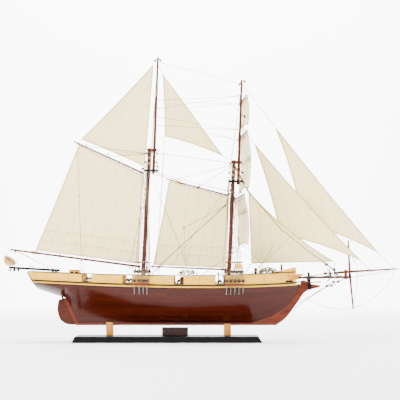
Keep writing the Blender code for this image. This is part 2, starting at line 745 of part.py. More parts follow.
# ---------------------------------------------------------------- shrouds
def make_shrouds():
    """Each side's shrouds, joined by the sheer pole that lies across them."""
    for mast_name, (feet, tops, top_z, channel_z) in SHROUDS.items():
        for word, side in (("starboard", -1), ("port", 1)):
            name = f"{mast_name}_shrouds_{word}"
            lines = []
            for foot_x, top_x in zip(feet, tops):
                foot = Vector((foot_x, side * (half_breadth(foot_x) + SHROUD_OUT), channel_z))
                lines.append((foot, Vector((top_x, side * 0.0080, top_z))))
            share = (SHEER_POLE_Z - channel_z) / (top_z - channel_z)
            ends = [foot.lerp(top, share) for foot, top in (lines[0], lines[-1])]
            reach = (ends[1] - ends[0]).normalized() * 0.003
            pole = rod(name, ends[0] - reach, ends[1] + reach, 0.0012, sides=8, finish="dark_rope")
            for i, (foot, top) in enumerate(lines):
                rope = rod(f"{name}_{i}", foot, top, SHROUD_RADIUS, sides=5, helper=True)
                boolean(pole, rope, "UNION")


# ---------------------------------------------------------------- deck and stern
def stand_on_deck(x):
    return deck_height(x) + 0.0006 + GAP


def make_deck_fittings():
    cabin = box("cabin", (-0.228, -0.019, stand_on_deck(-0.228)), (-0.204, 0.019, 0.1680), "boxwood")
    soften(cabin, 0.0015)
    hatch = box("hatch", (0.055, -0.014, stand_on_deck(0.055)), (0.090, 0.014, 0.1420), "boxwood")
    soften(hatch, 0.0010)
    bitts = box("bow_bitts", (0.2050, -0.0130, 0.1560), (0.2080, 0.0130, 0.1600), "black_paint")
    for i, y in enumerate((-0.0080, 0.0080)):
        low = (0.2035, y - 0.0022, stand_on_deck(0.2035) + 0.0004)
        post = box(f"bitt_{i}", low, (0.2095, y + 0.0022, 0.1730), helper=True)
        boolean(bitts, post, "UNION")
    for word, side in (("starboard", -1), ("port", 1)):
        beam(
            "cathead_" + word, (0.2800, side * 0.0345, 0.1520), (0.3120, side * 0.0420, 0.1570),
            0.0050, 0.0055, "stem_wood",
        )


def make_anchor():
    """The starboard anchor, lashed along the bowsprit with its arms forward."""
    shank = rod(
        "anchor", (0.3270, ANCHOR_Y, 0.1470), (0.3840, ANCHOR_Y, 0.1560), 0.0014, sides=8,
        finish="anchor_iron",
    )
    arms = outline_mesh("anchor_arms", anchor_arms(), 0.0012)
    arms.location.y = ANCHOR_Y
    stock = rod(
        "anchor_stock", (0.3320, -0.0330, 0.1478), (0.3320, -0.0065, 0.1478), 0.0016, sides=8, helper=True
    )
    boolean(shank, arms, "UNION")
    boolean(shank, stock, "UNION")


def anchor_arms():
    """The curved arms with their flukes, around the lower end of the shank."""
    centre = Vector((0.3835 - ARM_REACH, 0.1560))
    fluke = Vector((-0.0050, 0.0010))
    outer = [
        centre + Vector((math.cos(a), math.sin(a))) * ARM_REACH for a in np.radians((-62, -35, 0, 35, 62))
    ]
    inner = [
        centre + Vector((math.cos(a), math.sin(a))) * (ARM_REACH - ARM_THICK)
        for a in np.radians((52, 35, 0, -35, -52))
    ]
    return outer + [outer[-1] + fluke] + inner + [outer[0] + Vector((fluke.x, -fluke.y))]


def outline_mesh(name, points, half_thick):
    """A flat outline as a helper mesh, standing in the centre plane."""
    bm = bmesh.new()
    front = [bm.verts.new((x, -half_thick, z)) for x, z in points]
    back = [bm.verts.new((x, half_thick, z)) for x, z in points]
    bm.faces.new(front)
    bm.faces.new(list(reversed(back)))
    for i in range(len(points)):
        j = (i + 1) % len(points)
        bm.faces.new((front[i], front[j], back[j], back[i]))
    return add(name, to_mesh(name, bm), "", helper=True)


def make_stern_boat():
    """A boat hung across the stern, its open top tilted forward, on two davit beams."""
    bm = bmesh.new()
    bmesh.ops.create_uvsphere(bm, u_segments=16, v_segments=8, radius=1.0)
    upper = [v for v in bm.verts if v.co.z > 0.01]
    bmesh.ops.delete(bm, geom=upper, context="VERTS")
    bmesh.ops.scale(bm, verts=bm.verts, vec=BOAT_HALF)
    boat = add("stern_boat", to_mesh("stern_boat", bm), "boxwood")
    shell = boat.modifiers.new("planking", "SOLIDIFY")
    shell.thickness = BOAT_WALL
    shell.offset = -1.0
    boat.location = BOAT_CENTRE
    boat.rotation_euler.y = BOAT_TILT


def make_davits():
    """Two beams over the stern on a crossbeam and legs."""
    frame = beam(
        "davits", (-0.2640, -0.038, 0.1680), (-0.2640, 0.038, 0.1680), 0.0050, 0.0050, "black_paint"
    )
    for i, y in enumerate((-0.034, 0.034)):
        arm = beam(
            f"davit_arm_{i}", (-0.3660, y, 0.1738), (-0.2550, y, 0.1672), 0.0048, 0.0052, helper=True
        )
        leg = box(
            f"davit_leg_{i}", (-0.2665, y - 0.0020, deck_height(-0.2665) + 0.0010),
            (-0.2615, y + 0.0020, 0.1672), helper=True,
        )
        boolean(frame, arm, "UNION")
        boolean(frame, leg, "UNION")


clear_scene()
PARTS = new_collection("model_schooner")
HELPERS = new_collection("cutters", hidden=True)
MATERIALS = make_materials()
make_stand()
make_hull()
make_rudder()
make_masts()
make_bowsprit()
make_main_rig()
make_fore_rig()
make_stay_sails()
make_square_rig()
make_shrouds()
make_deck_fittings()
make_anchor()
make_stern_boat()
make_davits()
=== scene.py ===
"""The looks of the topsail schooner model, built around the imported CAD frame.

Metres, +X to the bow, +Y to port, +Z up; the origin is under the middle of the base.
"""

import json
import math

import bmesh
import bpy
from mathutils import Matrix, Vector, noise

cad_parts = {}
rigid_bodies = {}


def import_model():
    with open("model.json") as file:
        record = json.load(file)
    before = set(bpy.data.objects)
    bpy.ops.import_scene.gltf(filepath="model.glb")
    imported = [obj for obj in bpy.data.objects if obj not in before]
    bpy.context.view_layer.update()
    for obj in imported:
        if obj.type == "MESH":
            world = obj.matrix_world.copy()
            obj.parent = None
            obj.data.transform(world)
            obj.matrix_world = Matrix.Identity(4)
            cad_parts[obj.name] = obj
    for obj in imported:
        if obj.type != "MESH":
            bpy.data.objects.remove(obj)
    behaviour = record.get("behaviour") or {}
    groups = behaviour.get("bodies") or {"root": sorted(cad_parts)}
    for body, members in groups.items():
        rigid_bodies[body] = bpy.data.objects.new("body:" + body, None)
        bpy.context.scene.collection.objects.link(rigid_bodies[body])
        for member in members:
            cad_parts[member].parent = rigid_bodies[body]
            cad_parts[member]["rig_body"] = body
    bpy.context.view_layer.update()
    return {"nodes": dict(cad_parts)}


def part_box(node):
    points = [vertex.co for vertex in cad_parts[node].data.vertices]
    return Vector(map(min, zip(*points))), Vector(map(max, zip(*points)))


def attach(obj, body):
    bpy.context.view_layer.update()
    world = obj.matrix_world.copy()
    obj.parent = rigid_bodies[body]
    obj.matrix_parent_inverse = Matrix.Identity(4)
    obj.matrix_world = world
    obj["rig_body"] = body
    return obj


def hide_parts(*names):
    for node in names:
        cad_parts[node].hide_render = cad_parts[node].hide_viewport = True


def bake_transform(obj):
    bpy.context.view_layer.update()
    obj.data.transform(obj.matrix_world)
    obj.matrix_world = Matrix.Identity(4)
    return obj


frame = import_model()
NODES = frame["nodes"]
SHIP = "ship"


# ---------------------------------------------------------------- places read from the frame
def low(node):
    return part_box(node)[0]


def high(node):
    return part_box(node)[1]


def on_spar(node, z=None, x=None):
    """A point on the axis of a straight spar in the centre plane, at a height or at an x."""
    start, end = spar_ends(node)
    share = (z - start.z) / (end.z - start.z) if z is not None else (x - start.x) / (end.x - start.x)
    return start.lerp(end, share)


def spar_ends(node):
    """The two end points of a spar's axis, from the middles of its end caps."""
    a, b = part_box(node)
    points = [v.co for v in NODES[node].data.vertices]
    size = b - a
    axis = max(range(3), key=lambda i: size[i])
    ends = []
    for edge in (a[axis], b[axis]):
        near = [p for p in points if abs(p[axis] - edge) < 0.02 * size[axis] + 1e-5]
        ends.append(sum(near, Vector()) / len(near))
    return ends


def side_word(side):
    return "port" if side > 0 else "starboard"


def ring_angles(count):
    """Equal angles round a full turn."""
    return [2 * math.pi * k / count for k in range(count)]


# ---------------------------------------------------------------- materials
def shader_of(name, rough, metallic=0.0, coat=0.0, sheen=0.0, gloss=0.14):
    mat = bpy.data.materials.new(name)
    mat.use_nodes = True
    shader = mat.node_tree.nodes["Principled BSDF"]
    shader.inputs["Roughness"].default_value = rough
    shader.inputs["Metallic"].default_value = metallic
    shader.inputs["Coat Weight"].default_value = coat
    shader.inputs["Coat Roughness"].default_value = 0.08
    shader.inputs["Sheen Weight"].default_value = sheen
    shader.inputs["Specular IOR Level"].default_value = 0.5 if metallic else gloss
    return mat, shader


def add_node(mat, kind, **values):
    node = mat.node_tree.nodes.new(kind)
    for key, value in values.items():
        if key in node.inputs:
            node.inputs[key].default_value = value
        else:
            setattr(node, key, value)
    return node


def link(mat, source, target):
    mat.node_tree.links.new(source, target)


def ramp(mat, source, stops):
    node = mat.node_tree.nodes.new("ShaderNodeValToRGB")
    while len(node.color_ramp.elements) < len(stops):
        node.color_ramp.elements.new(0.5)
    for element, (place, colour) in zip(node.color_ramp.elements, stops):
        element.position = place
        element.color = (*colour, 1.0)
    link(mat, source, node.inputs["Fac"])
    return node.outputs["Color"]


def bump(mat, shader, height, strength, distance):
    node = add_node(mat, "ShaderNodeBump", Strength=strength, Distance=distance)
    link(mat, height, node.inputs["Height"])
    link(mat, node.outputs["Normal"], shader.inputs["Normal"])
    return node


def mapped(mat, scale, coordinates="Object"):
    """Texture coordinates stretched by a scale along each axis."""
    source = add_node(mat, "ShaderNodeTexCoord")
    node = add_node(mat, "ShaderNodeMapping")
    node.inputs["Scale"].default_value = scale
    link(mat, source.outputs[coordinates], node.inputs["Vector"])
    return node.outputs["Vector"]


def mixed(mat, first, second, factor, mode="MULTIPLY"):
    node = add_node(mat, "ShaderNodeMix", data_type="RGBA", blend_type=mode)
    for value, index in ((factor, 0), (first, 6), (second, 7)):
        if hasattr(value, "is_linked"):
            link(mat, value, node.inputs[index])
        else:
            node.inputs[index].default_value = value
    return node.outputs[2]


def wood(name, dark, light, along=(1, 14, 14), rough=0.3, coat=0.6, grain=0.25, spread=(0.3, 0.72),
         gloss=0.14):
    """Varnished or painted wood: long grain, slow colour drift and fine pores."""
    mat, shader = shader_of(name, rough, coat=coat, gloss=gloss)
    vector = mapped(mat, tuple(9.0 * a for a in along))
    warp = add_node(mat, "ShaderNodeTexNoise", Scale=1.3, Detail=5.0, Roughness=0.62, Distortion=0.5)
    link(mat, vector, warp.inputs["Vector"])
    tint = ramp(mat, warp.outputs["Fac"], ((spread[0], dark), (spread[1], light)))
    pores = add_node(mat, "ShaderNodeTexNoise", Scale=9.0, Detail=3.0, Roughness=0.7)
    link(mat, vector, pores.inputs["Vector"])
    fine = ramp(mat, pores.outputs["Fac"], ((0.36, (0.62, 0.58, 0.55)), (0.52, (1, 1, 1))))
    link(mat, mixed(mat, tint, fine, 0.5), shader.inputs["Base Color"])
    bump(mat, shader, pores.outputs["Fac"], grain, 0.00025)
    return mat


def planked(name, dark, light, seam, width, length, rough, coat, coordinates="Object", order=None):
    """Wood laid as planks, with a thin dark seam and a tone of its own for each plank."""
    mat, shader = shader_of(name, rough, coat=coat)
    base = mapped(mat, (1, 1, 1), coordinates)
    if order:
        turn = add_node(mat, "ShaderNodeMapping")
        turn.inputs["Rotation"].default_value = order
        link(mat, base, turn.inputs["Vector"])
        base = turn.outputs["Vector"]
    brick = add_node(
        mat, "ShaderNodeTexBrick", offset=0.37, Scale=1.0, **{
            "Mortar Size": seam, "Brick Width": length, "Row Height": width, "Bias": 0.0,
            "Mortar Smooth": 0.2,
        },
    )
    brick.inputs["Color1"].default_value = (*dark, 1)
    brick.inputs["Color2"].default_value = (*light, 1)
    brick.inputs["Mortar"].default_value = (*[0.28 * c for c in dark], 1)
    link(mat, base, brick.inputs["Vector"])
    stretch = add_node(mat, "ShaderNodeMapping")
    stretch.inputs["Scale"].default_value = (1.0 / length, 3.0 / width, 3.0 / width)
    link(mat, base, stretch.inputs["Vector"])
    grain = add_node(mat, "ShaderNodeTexNoise", Scale=2.2, Detail=5.0, Roughness=0.65, Distortion=0.3)
    link(mat, stretch.outputs["Vector"], grain.inputs["Vector"])
    tone = ramp(mat, grain.outputs["Fac"], ((0.3, (0.66, 0.6, 0.56)), (0.66, (1.0, 1.0, 1.0))))
    link(mat, mixed(mat, brick.outputs["Color"], tone, 0.8), shader.inputs["Base Color"])
    bump(mat, shader, brick.outputs["Fac"], -0.25, 0.0003)
    return mat


def cloth(name, colour, shade, weave=2600.0):
    """Cotton: a fine square weave, a faint slub and slow yellowing."""
    mat, shader = shader_of(name, 0.92, sheen=0.25)
    vector = mapped(mat, (1, 1, 1))
    slow = add_node(mat, "ShaderNodeTexNoise", Scale=14.0, Detail=4.0, Roughness=0.6)
    link(mat, vector, slow.inputs["Vector"])
    tint = ramp(mat, slow.outputs["Fac"], ((0.3, shade), (0.7, colour)))
    waves = []
    for axis in ("X", "Z"):
        thread = add_node(mat, "ShaderNodeTexWave", bands_direction=axis, Scale=weave / 20, Distortion=0.4)
        link(mat, vector, thread.inputs["Vector"])
        waves.append(thread.outputs["Fac"])
    crossed = add_node(mat, "ShaderNodeMath", operation="MULTIPLY")
    link(mat, waves[0], crossed.inputs[0])
    link(mat, waves[1], crossed.inputs[1])
    threads = ramp(mat, crossed.outputs[0], ((0.0, (0.93, 0.925, 0.91)), (0.8, (1, 1, 1))))
    link(mat, mixed(mat, tint, threads, 0.8), shader.inputs["Base Color"])
    folds = add_node(mat, "ShaderNodeTexNoise", Scale=13.0, Detail=2.0, Roughness=0.45, Distortion=0.8)
    link(mat, mapped(mat, (1.0, 1.0, 0.45)), folds.inputs["Vector"])
    creases = bump(mat, shader, folds.outputs["Fac"], 0.35, 0.006)
    weaving = bump(mat, shader, crossed.outputs[0], 0.2, 0.0002)
    link(mat, creases.outputs["Normal"], weaving.inputs["Normal"])
    shader.inputs["Subsurface Weight"].default_value = 0.12
    shader.inputs["Subsurface Radius"].default_value = (0.004, 0.0035, 0.0025)
    shader.inputs["Subsurface Scale"].default_value = 0.5
    return mat


def cord_finish(name, dark, light):
    """Laid cord: diagonal strands of two tones."""
    mat, shader = shader_of(name, 0.85)
    vector = mapped(mat, (1, 1, 1))
    strands = add_node(mat, "ShaderNodeTexWave", bands_direction="DIAGONAL", Scale=260.0, Distortion=1.0)
    link(mat, vector, strands.inputs["Vector"])
    link(mat, ramp(mat, strands.outputs["Fac"], ((0.2, dark), (0.8, light))), shader.inputs["Base Color"])
    bump(mat, shader, strands.outputs["Fac"], 0.5, 0.0003)
    return mat


def metal(name, dark, light, rough, metallic=1.0):
    """Cast or drawn metal with a patchy tarnish."""
    mat, shader = shader_of(name, rough, metallic)
    vector = mapped(mat, (1, 1, 1))
    patch = add_node(mat, "ShaderNodeTexNoise", Scale=160.0, Detail=4.0)
    link(mat, vector, patch.inputs["Vector"])
    link(mat, ramp(mat, patch.outputs["Fac"], ((0.35, dark), (0.65, light))), shader.inputs["Base Color"])
    bump(mat, shader, patch.outputs["Fac"], 0.1, 0.0002)
    return mat


LOOKS = {
    "hull": planked("hull_planking", (0.033, 0.0042, 0.0015), (0.05, 0.007, 0.0023), 0.00025, 0.0715, 2.2,
                    0.22, 0.07, coordinates="UV"),
    "mahogany": wood("mahogany", (0.025, 0.003, 0.0011), (0.065, 0.0098, 0.0032), rough=0.25, coat=0.07),
    "stem": wood("stem_wood", (0.056, 0.0068, 0.0018), (0.125, 0.0205, 0.005), rough=0.28, coat=0.07),
    "spar": wood("spar_wood", (0.032, 0.0035, 0.0013), (0.1, 0.017, 0.0052), (1, 10, 1), rough=0.35,
                 coat=0.06),
    "mast": wood("mast_wood", (0.036, 0.0045, 0.0016), (0.11, 0.02, 0.0065), (10, 10, 1), rough=0.35,
                 coat=0.06),
    "box": wood("boxwood", (0.58, 0.27, 0.018), (0.8, 0.43, 0.05), (1, 3, 10), rough=0.4, coat=0.0),
    "box_flat": wood("boxwood_panel", (0.66, 0.34, 0.022), (0.82, 0.47, 0.055), (0.7, 3, 14), rough=0.4,
                     coat=0.0, grain=0.12),
    "post": wood("post_wood", (0.38, 0.14, 0.015), (0.56, 0.24, 0.035), (12, 12, 2), rough=0.4, coat=0.05),
    "bright": wood("bright_wood", (0.46, 0.155, 0.0), (0.6, 0.23, 0.002), (2, 6, 12), rough=0.35, coat=0.2),
    "deck": planked("deck_planks", (0.4, 0.21, 0.065), (0.56, 0.33, 0.12), 0.00035, 0.0062, 0.19, 0.5, 0.1),
    "black": wood("black_paint", (0.003, 0.0026, 0.0026), (0.008, 0.007, 0.0065), rough=0.5, coat=0.0,
                  gloss=0.1),
    "base": wood("base_lacquer", (0.002, 0.0018, 0.002), (0.0045, 0.004, 0.0045), rough=0.5, coat=0.0,
                 gloss=0.08),
    "channel": wood("channel_wood", (0.055, 0.0065, 0.0022), (0.13, 0.02, 0.007), rough=0.4, coat=0.05),
    "plaque": wood("plaque_wood", (0.009, 0.0022, 0.0017), (0.024, 0.0055, 0.0038), rough=0.4, coat=0.1),
    "sail": cloth("sailcloth", (0.95, 0.8, 0.44), (0.92, 0.755, 0.39)),
    "seam": cloth("seam_cloth", (0.76, 0.59, 0.27), (0.72, 0.54, 0.23)),
    "hem": cloth("hem_cloth", (0.74, 0.53, 0.2), (0.66, 0.45, 0.15)),
    "tan_rope": cord_finish("tan_rope", (0.11, 0.05, 0.015), (0.23, 0.12, 0.04)),
    "pale_rope": cord_finish("pale_rope", (0.23, 0.145, 0.058), (0.37, 0.25, 0.11)),
    "dark_rope": cord_finish("dark_rope", (0.022, 0.013, 0.008), (0.07, 0.045, 0.028)),
    "grey_rope": cord_finish("grey_rope", (0.07, 0.06, 0.047), (0.135, 0.12, 0.098)),
    "block": wood("block_wood", (0.007, 0.0028, 0.0018), (0.028, 0.01, 0.0055), (8, 8, 2), rough=0.35,
                  coat=0.2),
    "iron": metal("black_iron", (0.006, 0.006, 0.0065), (0.018, 0.018, 0.019), 0.45, 0.5),
    "steel": metal("bright_steel", (0.17, 0.16, 0.135), (0.36, 0.34, 0.3), 0.35),
    "brass": metal("brass", (0.42, 0.22, 0.05), (0.66, 0.42, 0.12), 0.25),
    "cannon": metal("gun_metal", (0.028, 0.026, 0.025), (0.08, 0.076, 0.07), 0.32, 0.9),
}


# ---------------------------------------------------------------- mesh tools
def place(mesh_or_curve, name, look, body, smooth_angle=40):
    """Link a new piece, give it its material and let it ride on a body."""
    obj = bpy.data.objects.new(name, mesh_or_curve)
    bpy.context.scene.collection.objects.link(obj)
    mesh_or_curve.materials.append(LOOKS[look])
    if obj.type == "MESH":
        mesh_or_curve.shade_smooth()
        mesh_or_curve.set_sharp_from_angle(angle=math.radians(smooth_angle))
    if body:
        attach(obj, body)
    return obj


def aimed(point, direction=(0, 0, 1), roll="Y"):
    """A matrix that puts local +Z along a direction at a point."""
    turn = Vector(direction).to_track_quat("Z", roll).to_matrix().to_4x4()
    return Matrix.Translation(point) @ turn


class Group:
    """Many small shapes of one material, gathered into one mesh."""

    def __init__(self):
        self.bm = bmesh.new()

    def ball(self, point, size, direction=(0, 0, 1), segments=10):
        scale = Matrix.Diagonal((*size, 1)) if hasattr(size, "__len__") else Matrix.Scale(size, 4)
        bmesh.ops.create_uvsphere(
            self.bm, u_segments=segments, v_segments=segments // 2 + 1, radius=1.0,
            matrix=aimed(point, direction) @ scale,
        )

    def rod(self, start, end, radius, end_radius=None, sides=10):
        start, end = Vector(start), Vector(end)
        bmesh.ops.create_cone(
            self.bm, cap_ends=True, segments=sides, radius1=radius,
            radius2=radius if end_radius is None else end_radius,
            depth=(end - start).length, matrix=aimed((start + end) / 2, end - start),
        )

    def block(self, centre, size, matrix=None, edge=0.0):
        """A box with chamfered edges, in the group's own axes or those of a matrix."""
        start = Matrix.Translation(centre) if matrix is None else matrix
        made = bmesh.ops.create_cube(self.bm, size=1.0, matrix=start @ Matrix.Diagonal((*size, 1)))
        if edge:
            edges = {e for v in made["verts"] for e in v.link_edges}
            bmesh.ops.bevel(self.bm, geom=list(edges), offset=edge, segments=2, affect="EDGES", profile=0.6)

    def lathe(self, profile, matrix, segments=16):
        """A turned shape: (radius, height) points about the matrix's Z axis."""
        rows = []
        for radius, height in profile:
            if radius < 1e-7:
                rows.append([self.bm.verts.new(matrix @ Vector((0, 0, height)))])
                continue
            angles = [2 * math.pi * i / segments for i in range(segments)]
            rows.append([
                self.bm.verts.new(matrix @ Vector((radius * math.cos(a), radius * math.sin(a), height)))
                for a in angles
            ])
        for first, second in zip(rows, rows[1:]):
            for i in range(segments):
                j = (i + 1) % segments
                quad = [first[i % len(first)], first[j % len(first)],
                        second[j % len(second)], second[i % len(second)]]
                unique = list(dict.fromkeys(quad))
                if len(unique) > 2:
                    self.bm.faces.new(unique)

    def tube(self, points, radius, sides=6, closed=False):
        """A round cord along points, with flat ends, or a closed loop."""
        points = [Vector(p) for p in points]
        count = len(points)
        rings = []
        normal = None
        for i, point in enumerate(points):
            before = points[(i - 1) % count] if closed or i else point
            after = points[(i + 1) % count] if closed or i < count - 1 else point
            tangent = (after - before).normalized()
            if normal is None:
                normal = tangent.orthogonal().normalized()
            normal = (normal - tangent * normal.dot(tangent)).normalized()
            side = tangent.cross(normal)
            size = radius(i / max(1, count - 1)) if callable(radius) else radius
            rings.append([
                self.bm.verts.new(point + (normal * math.cos(a) + side * math.sin(a)) * size)
                for a in ring_angles(sides)
            ])
        steps = list(zip(rings, rings[1:])) + ([(rings[-1], rings[0])] if closed else [])
        for first, second in steps:
            for i in range(sides):
                j = (i + 1) % sides
                self.bm.faces.new((first[i], first[j], second[j], second[i]))
        if not closed:
            self.bm.faces.new(list(reversed(rings[0])))
            self.bm.faces.new(rings[-1])

    def coil(self, centre, radius, cord, turns, direction=(0, 0, 1), stretch=(1.0, 1.0), rise=None):
        """A neat coil of rope, or with a rise the wraps of a lashing."""
        matrix = aimed(centre, direction)
        steps = int(turns * 16)
        points = []
        for i in range(steps + 1):
            a = 2 * math.pi * i / 16
            if rise is None:
                grow = radius + cord * (1.2 * math.sin(2.3 * a / turns) + 0.9 * math.sin(1.7 * a))
                height = cord * 1.4 * (i / steps) * turns * 0.55
            else:
                grow, height = radius, rise * i / steps
            points.append(matrix @ Vector((
                grow * stretch[0] * math.cos(a), grow * stretch[1] * math.sin(a), height,
            )))
        self.tube(points, cord, sides=5)

    def done(self, name, look, body=SHIP, replaces=(), slot=None, smooth_angle=40):
        bmesh.ops.recalc_face_normals(self.bm, faces=self.bm.faces)
        mesh = bpy.data.meshes.new(name)
        self.bm.to_mesh(mesh)
        self.bm.free()
        obj = place(mesh, name, look, body, smooth_angle)
        if replaces:
            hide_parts(*replaces)
        return obj


def skin(name, rows, look, body=SHIP, closed=False, caps=True, uv=None, smooth_angle=40, replaces=()):
    """A surface through rows of points; rows may be closed rings with capped ends."""
    bm = bmesh.new()
    verts = [[bm.verts.new(p) for p in row] for row in rows]
    layer = bm.loops.layers.uv.new("UVMap") if uv else None
    count = len(rows[0])
    for r in range(len(rows) - 1):
        for i in range(count if closed else count - 1):
            j = (i + 1) % count
            face = bm.faces.new((verts[r][i], verts[r][j], verts[r + 1][j], verts[r + 1][i]))
            if uv:
                places = ((r, i), (r, i + 1), (r + 1, i + 1), (r + 1, i))
                for loop, (row, column) in zip(face.loops, places):
                    loop[layer].uv = uv(row, column)
    if closed and caps:
        bm.faces.new(verts[0])
        bm.faces.new(verts[-1])
    bmesh.ops.recalc_face_normals(bm, faces=bm.faces)
    mesh = bpy.data.meshes.new(name)
    bm.to_mesh(mesh)
    bm.free()
    obj = place(mesh, name, look, body, smooth_angle)
    if replaces:
        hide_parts(*replaces)
    return obj


def refined(node, look, bevel=0.0003, smooth_angle=40):
    """The CAD solid again, with its edges softened and its round faces smooth."""
    source = NODES[node]
    bm = bmesh.new()
    bm.from_mesh(source.data)
    bmesh.ops.remove_doubles(bm, verts=bm.verts, dist=1e-6)
    bmesh.ops.dissolve_limit(bm, angle_limit=math.radians(1.0), verts=bm.verts, edges=bm.edges)
    mesh = bpy.data.meshes.new(node + "_visual")
    bm.to_mesh(mesh)
    bm.free()
    obj = place(mesh, node + "_visual", look, None, smooth_angle)
    if bevel:
        step = obj.modifiers.new("edges", "BEVEL")
        step.width = bevel
        step.segments = 2
        step.limit_method = "ANGLE"
        step.angle_limit = math.radians(32)
    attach(obj, source["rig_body"])
    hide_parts(node)
    return obj


def paint(node, look):
    """A CAD node that keeps its shape gets its finished material."""
    data = NODES[node].data
    data.materials.clear()
    data.materials.append(LOOKS[look])
    return NODES[node]


def curve_points(points, per_span=8):
    """A smooth line through given points."""
    points = [Vector(p) for p in points]
    ends = [2 * points[0] - points[1], *points, 2 * points[-1] - points[-2]]
    line = []
    for i in range(1, len(ends) - 2):
        a, b, c, d = ends[i - 1:i + 3]
        for k in range(per_span):
            t = k / per_span
            line.append(0.5 * (2 * b + (c - a) * t + (2 * a - 5 * b + 4 * c - d) * t * t
                               + (3 * b - 3 * c + d - a) * t ** 3))
    line.append(points[-1])
    return line


def sagging(start, end, sag=0.0, steps=10):
    """A line between two points that hangs by a sag at its middle."""
    start, end = Vector(start), Vector(end)
    line = []
    for i in range(steps + 1):
        t = i / steps
        line.append(start.lerp(end, t) - Vector((0, 0, 4 * sag * t * (1 - t))))
    return line


# ---------------------------------------------------------------- hull lines, as the CAD hull has them
KEEL_HALF = 0.0025
STERN_X, BOW_X = -0.299, 0.3105
TRANSOM_RAKE = -0.52
MID_X, MID_HALF = 0.04, 0.0745
KEEL_POINTS = (
    (STERN_X, 0.124), (-0.247, 0.107), (-0.236, 0.1035), (-0.208, 0.0447), (0.196, 0.0447),
    (0.242, 0.059), (0.276, 0.08), (0.293, 0.097), (0.3035, 0.115), (BOW_X, 0.133),
)
SHAPE_POINTS = (
    (STERN_X, 0.8, 1.5), (-0.24, 0.95, 1.7), (-0.205, 2.6, 1.6), (-0.08, 1.35, 2.4),
    (0.03, 1.1, 2.7), (0.15, 1.15, 2.2), (0.25, 1.2, 1.4), (BOW_X, 1.0, 1.0),
)
DECK_THICK, BULWARK_THICK = 0.0022, 0.0028


def between(pairs, x, column=1):
    """A value read from (x, value, ...) points, held beyond the ends."""
    if x <= pairs[0][0]:
        return pairs[0][column]
    for first, second in zip(pairs, pairs[1:]):
        if x <= second[0]:
            share = (x - first[0]) / (second[0] - first[0])
            return first[column] + (second[column] - first[column]) * share
    return pairs[-1][column]


def deck_z(x):
    return 0.1325 + (7.6e-2 if x < 0.1 else 13.5e-2) * (x - 0.1) ** 2


def rail_z(x):
    return 0.1545 + (8.8e-2 if x < 0.03 else 12.0e-2) * (x - 0.03) ** 2


GUN_PORTS = (-0.1825, -0.0895, 0.028, 0.122)


def half_breadth(x, bow=BOW_X, fullness=2.6):
    if x > MID_X:
        reach = min(1.0, (x - MID_X) / (bow - MID_X))
        return KEEL_HALF + (MID_HALF - KEEL_HALF) * (1 - reach**fullness)
    return MID_HALF * (1 - 0.33 * ((MID_X - x) / (MID_X - STERN_X)) ** 2.2)


def rail_breadth(x):
    return half_breadth(x, bow=0.323, fullness=2.8) + 0.0005


def stern_lean(x, z):
    near = min(1.0, max(0.0, (-0.24 - x) / (-0.24 - STERN_X)))
    return TRANSOM_RAKE * near * max(0.0, z - between(KEEL_POINTS, x))


def side_flare(x, z):
    foot = deck_z(x) - DECK_THICK
    share = max(0.0, (z - foot) / (rail_z(x) - foot))
    return half_breadth(x) + (rail_breadth(x) - half_breadth(x)) * share


def hull_breadth(x, z):
    """Half the width of the hull or bulwark at an x and a height."""
    if z > deck_z(x) - DECK_THICK:
        return side_flare(x, z)
    bottom, top = between(KEEL_POINTS, x), deck_z(x)
    share = min(1.0, max(0.0, (z - bottom) / (top - bottom)))
    hollow, full = between(SHAPE_POINTS, x, 1), between(SHAPE_POINTS, x, 2)
    return KEEL_HALF - 0.0002 + (half_breadth(x) - KEEL_HALF) * (1 - (1 - share**hollow) ** full)


def on_side(x, z, side=-1, proud=0.0):
    """A point on the ship's side, or a little proud of it."""
    return Vector((x + stern_lean(x, z), side * (hull_breadth(x, z) + proud), z))


def steps(start, end, count):
    return [start + (end - start) * i / (count - 1) for i in range(count)]


def hull_skin():
    """The planked hull below the deck, fine enough to shine smoothly."""
    levels = 34
    rows = []
    xs = steps(STERN_X, BOW_X, 110)
    xs = sorted({round(x, 5) for x in xs + [p[0] for p in KEEL_POINTS]})
    for x in xs:
        bottom, top = between(KEEL_POINTS, x) - 0.0009, deck_z(x) - DECK_THICK - 0.0003
        half = [on_side(x, bottom + (top - bottom) * (i / levels) ** 1.25, 1) for i in range(levels + 1)]
        rows.append(half + [Vector((p.x, -p.y, p.z)) for p in reversed(half)])

    def uv(row, column):
        level = min(column, 2 * levels + 1 - column)
        return (8.0 * xs[row], max(0, level) / levels)

    hull = skin("hull_planks", rows, "hull", closed=True, uv=uv, smooth_angle=35, replaces=("hull",))


def side_band(name, look, xs, low_at, high_at, proud, thick, inward=0.0, side=-1):
    """A strip along the ship's side between two heights, standing proud of it."""
    rows = []
    for x in xs:
        ring = []
        for z, out in ((low_at(x), -inward), (low_at(x), proud + thick), (high_at(x), proud + thick),
                       (high_at(x), -inward)):
            ring.append(on_side(x, z, side, out))
        rows.append(ring)
    return skin(name, rows, look, closed=True, smooth_angle=30)


def strakes_and_lines():
    """The pale moulding and the dark line below the wale, on both sides."""
    xs = steps(-0.2985, 0.303, 90)
    for word, side in (("starboard", -1), ("port", 1)):
        side_band("moulding_" + word, "box_flat", xs, lambda x: deck_z(x) - 0.0058,
                  lambda x: deck_z(x) - 0.0026, 0.00015, 0.0005, 0.0002, side)
        side_band("dark_line_" + word, "black", xs, lambda x: deck_z(x) - 0.007,
                  lambda x: deck_z(x) - 0.0059, 0.0008, 0.001, 0.0002, side)
        wale = side_band("wale_skin_" + word, "black", xs, lambda x: deck_z(x) - 0.0015,
                         lambda x: deck_z(x) + 0.0015, 0.0004, 0.0016, 0.0, side)
        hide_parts("wale_" + word)


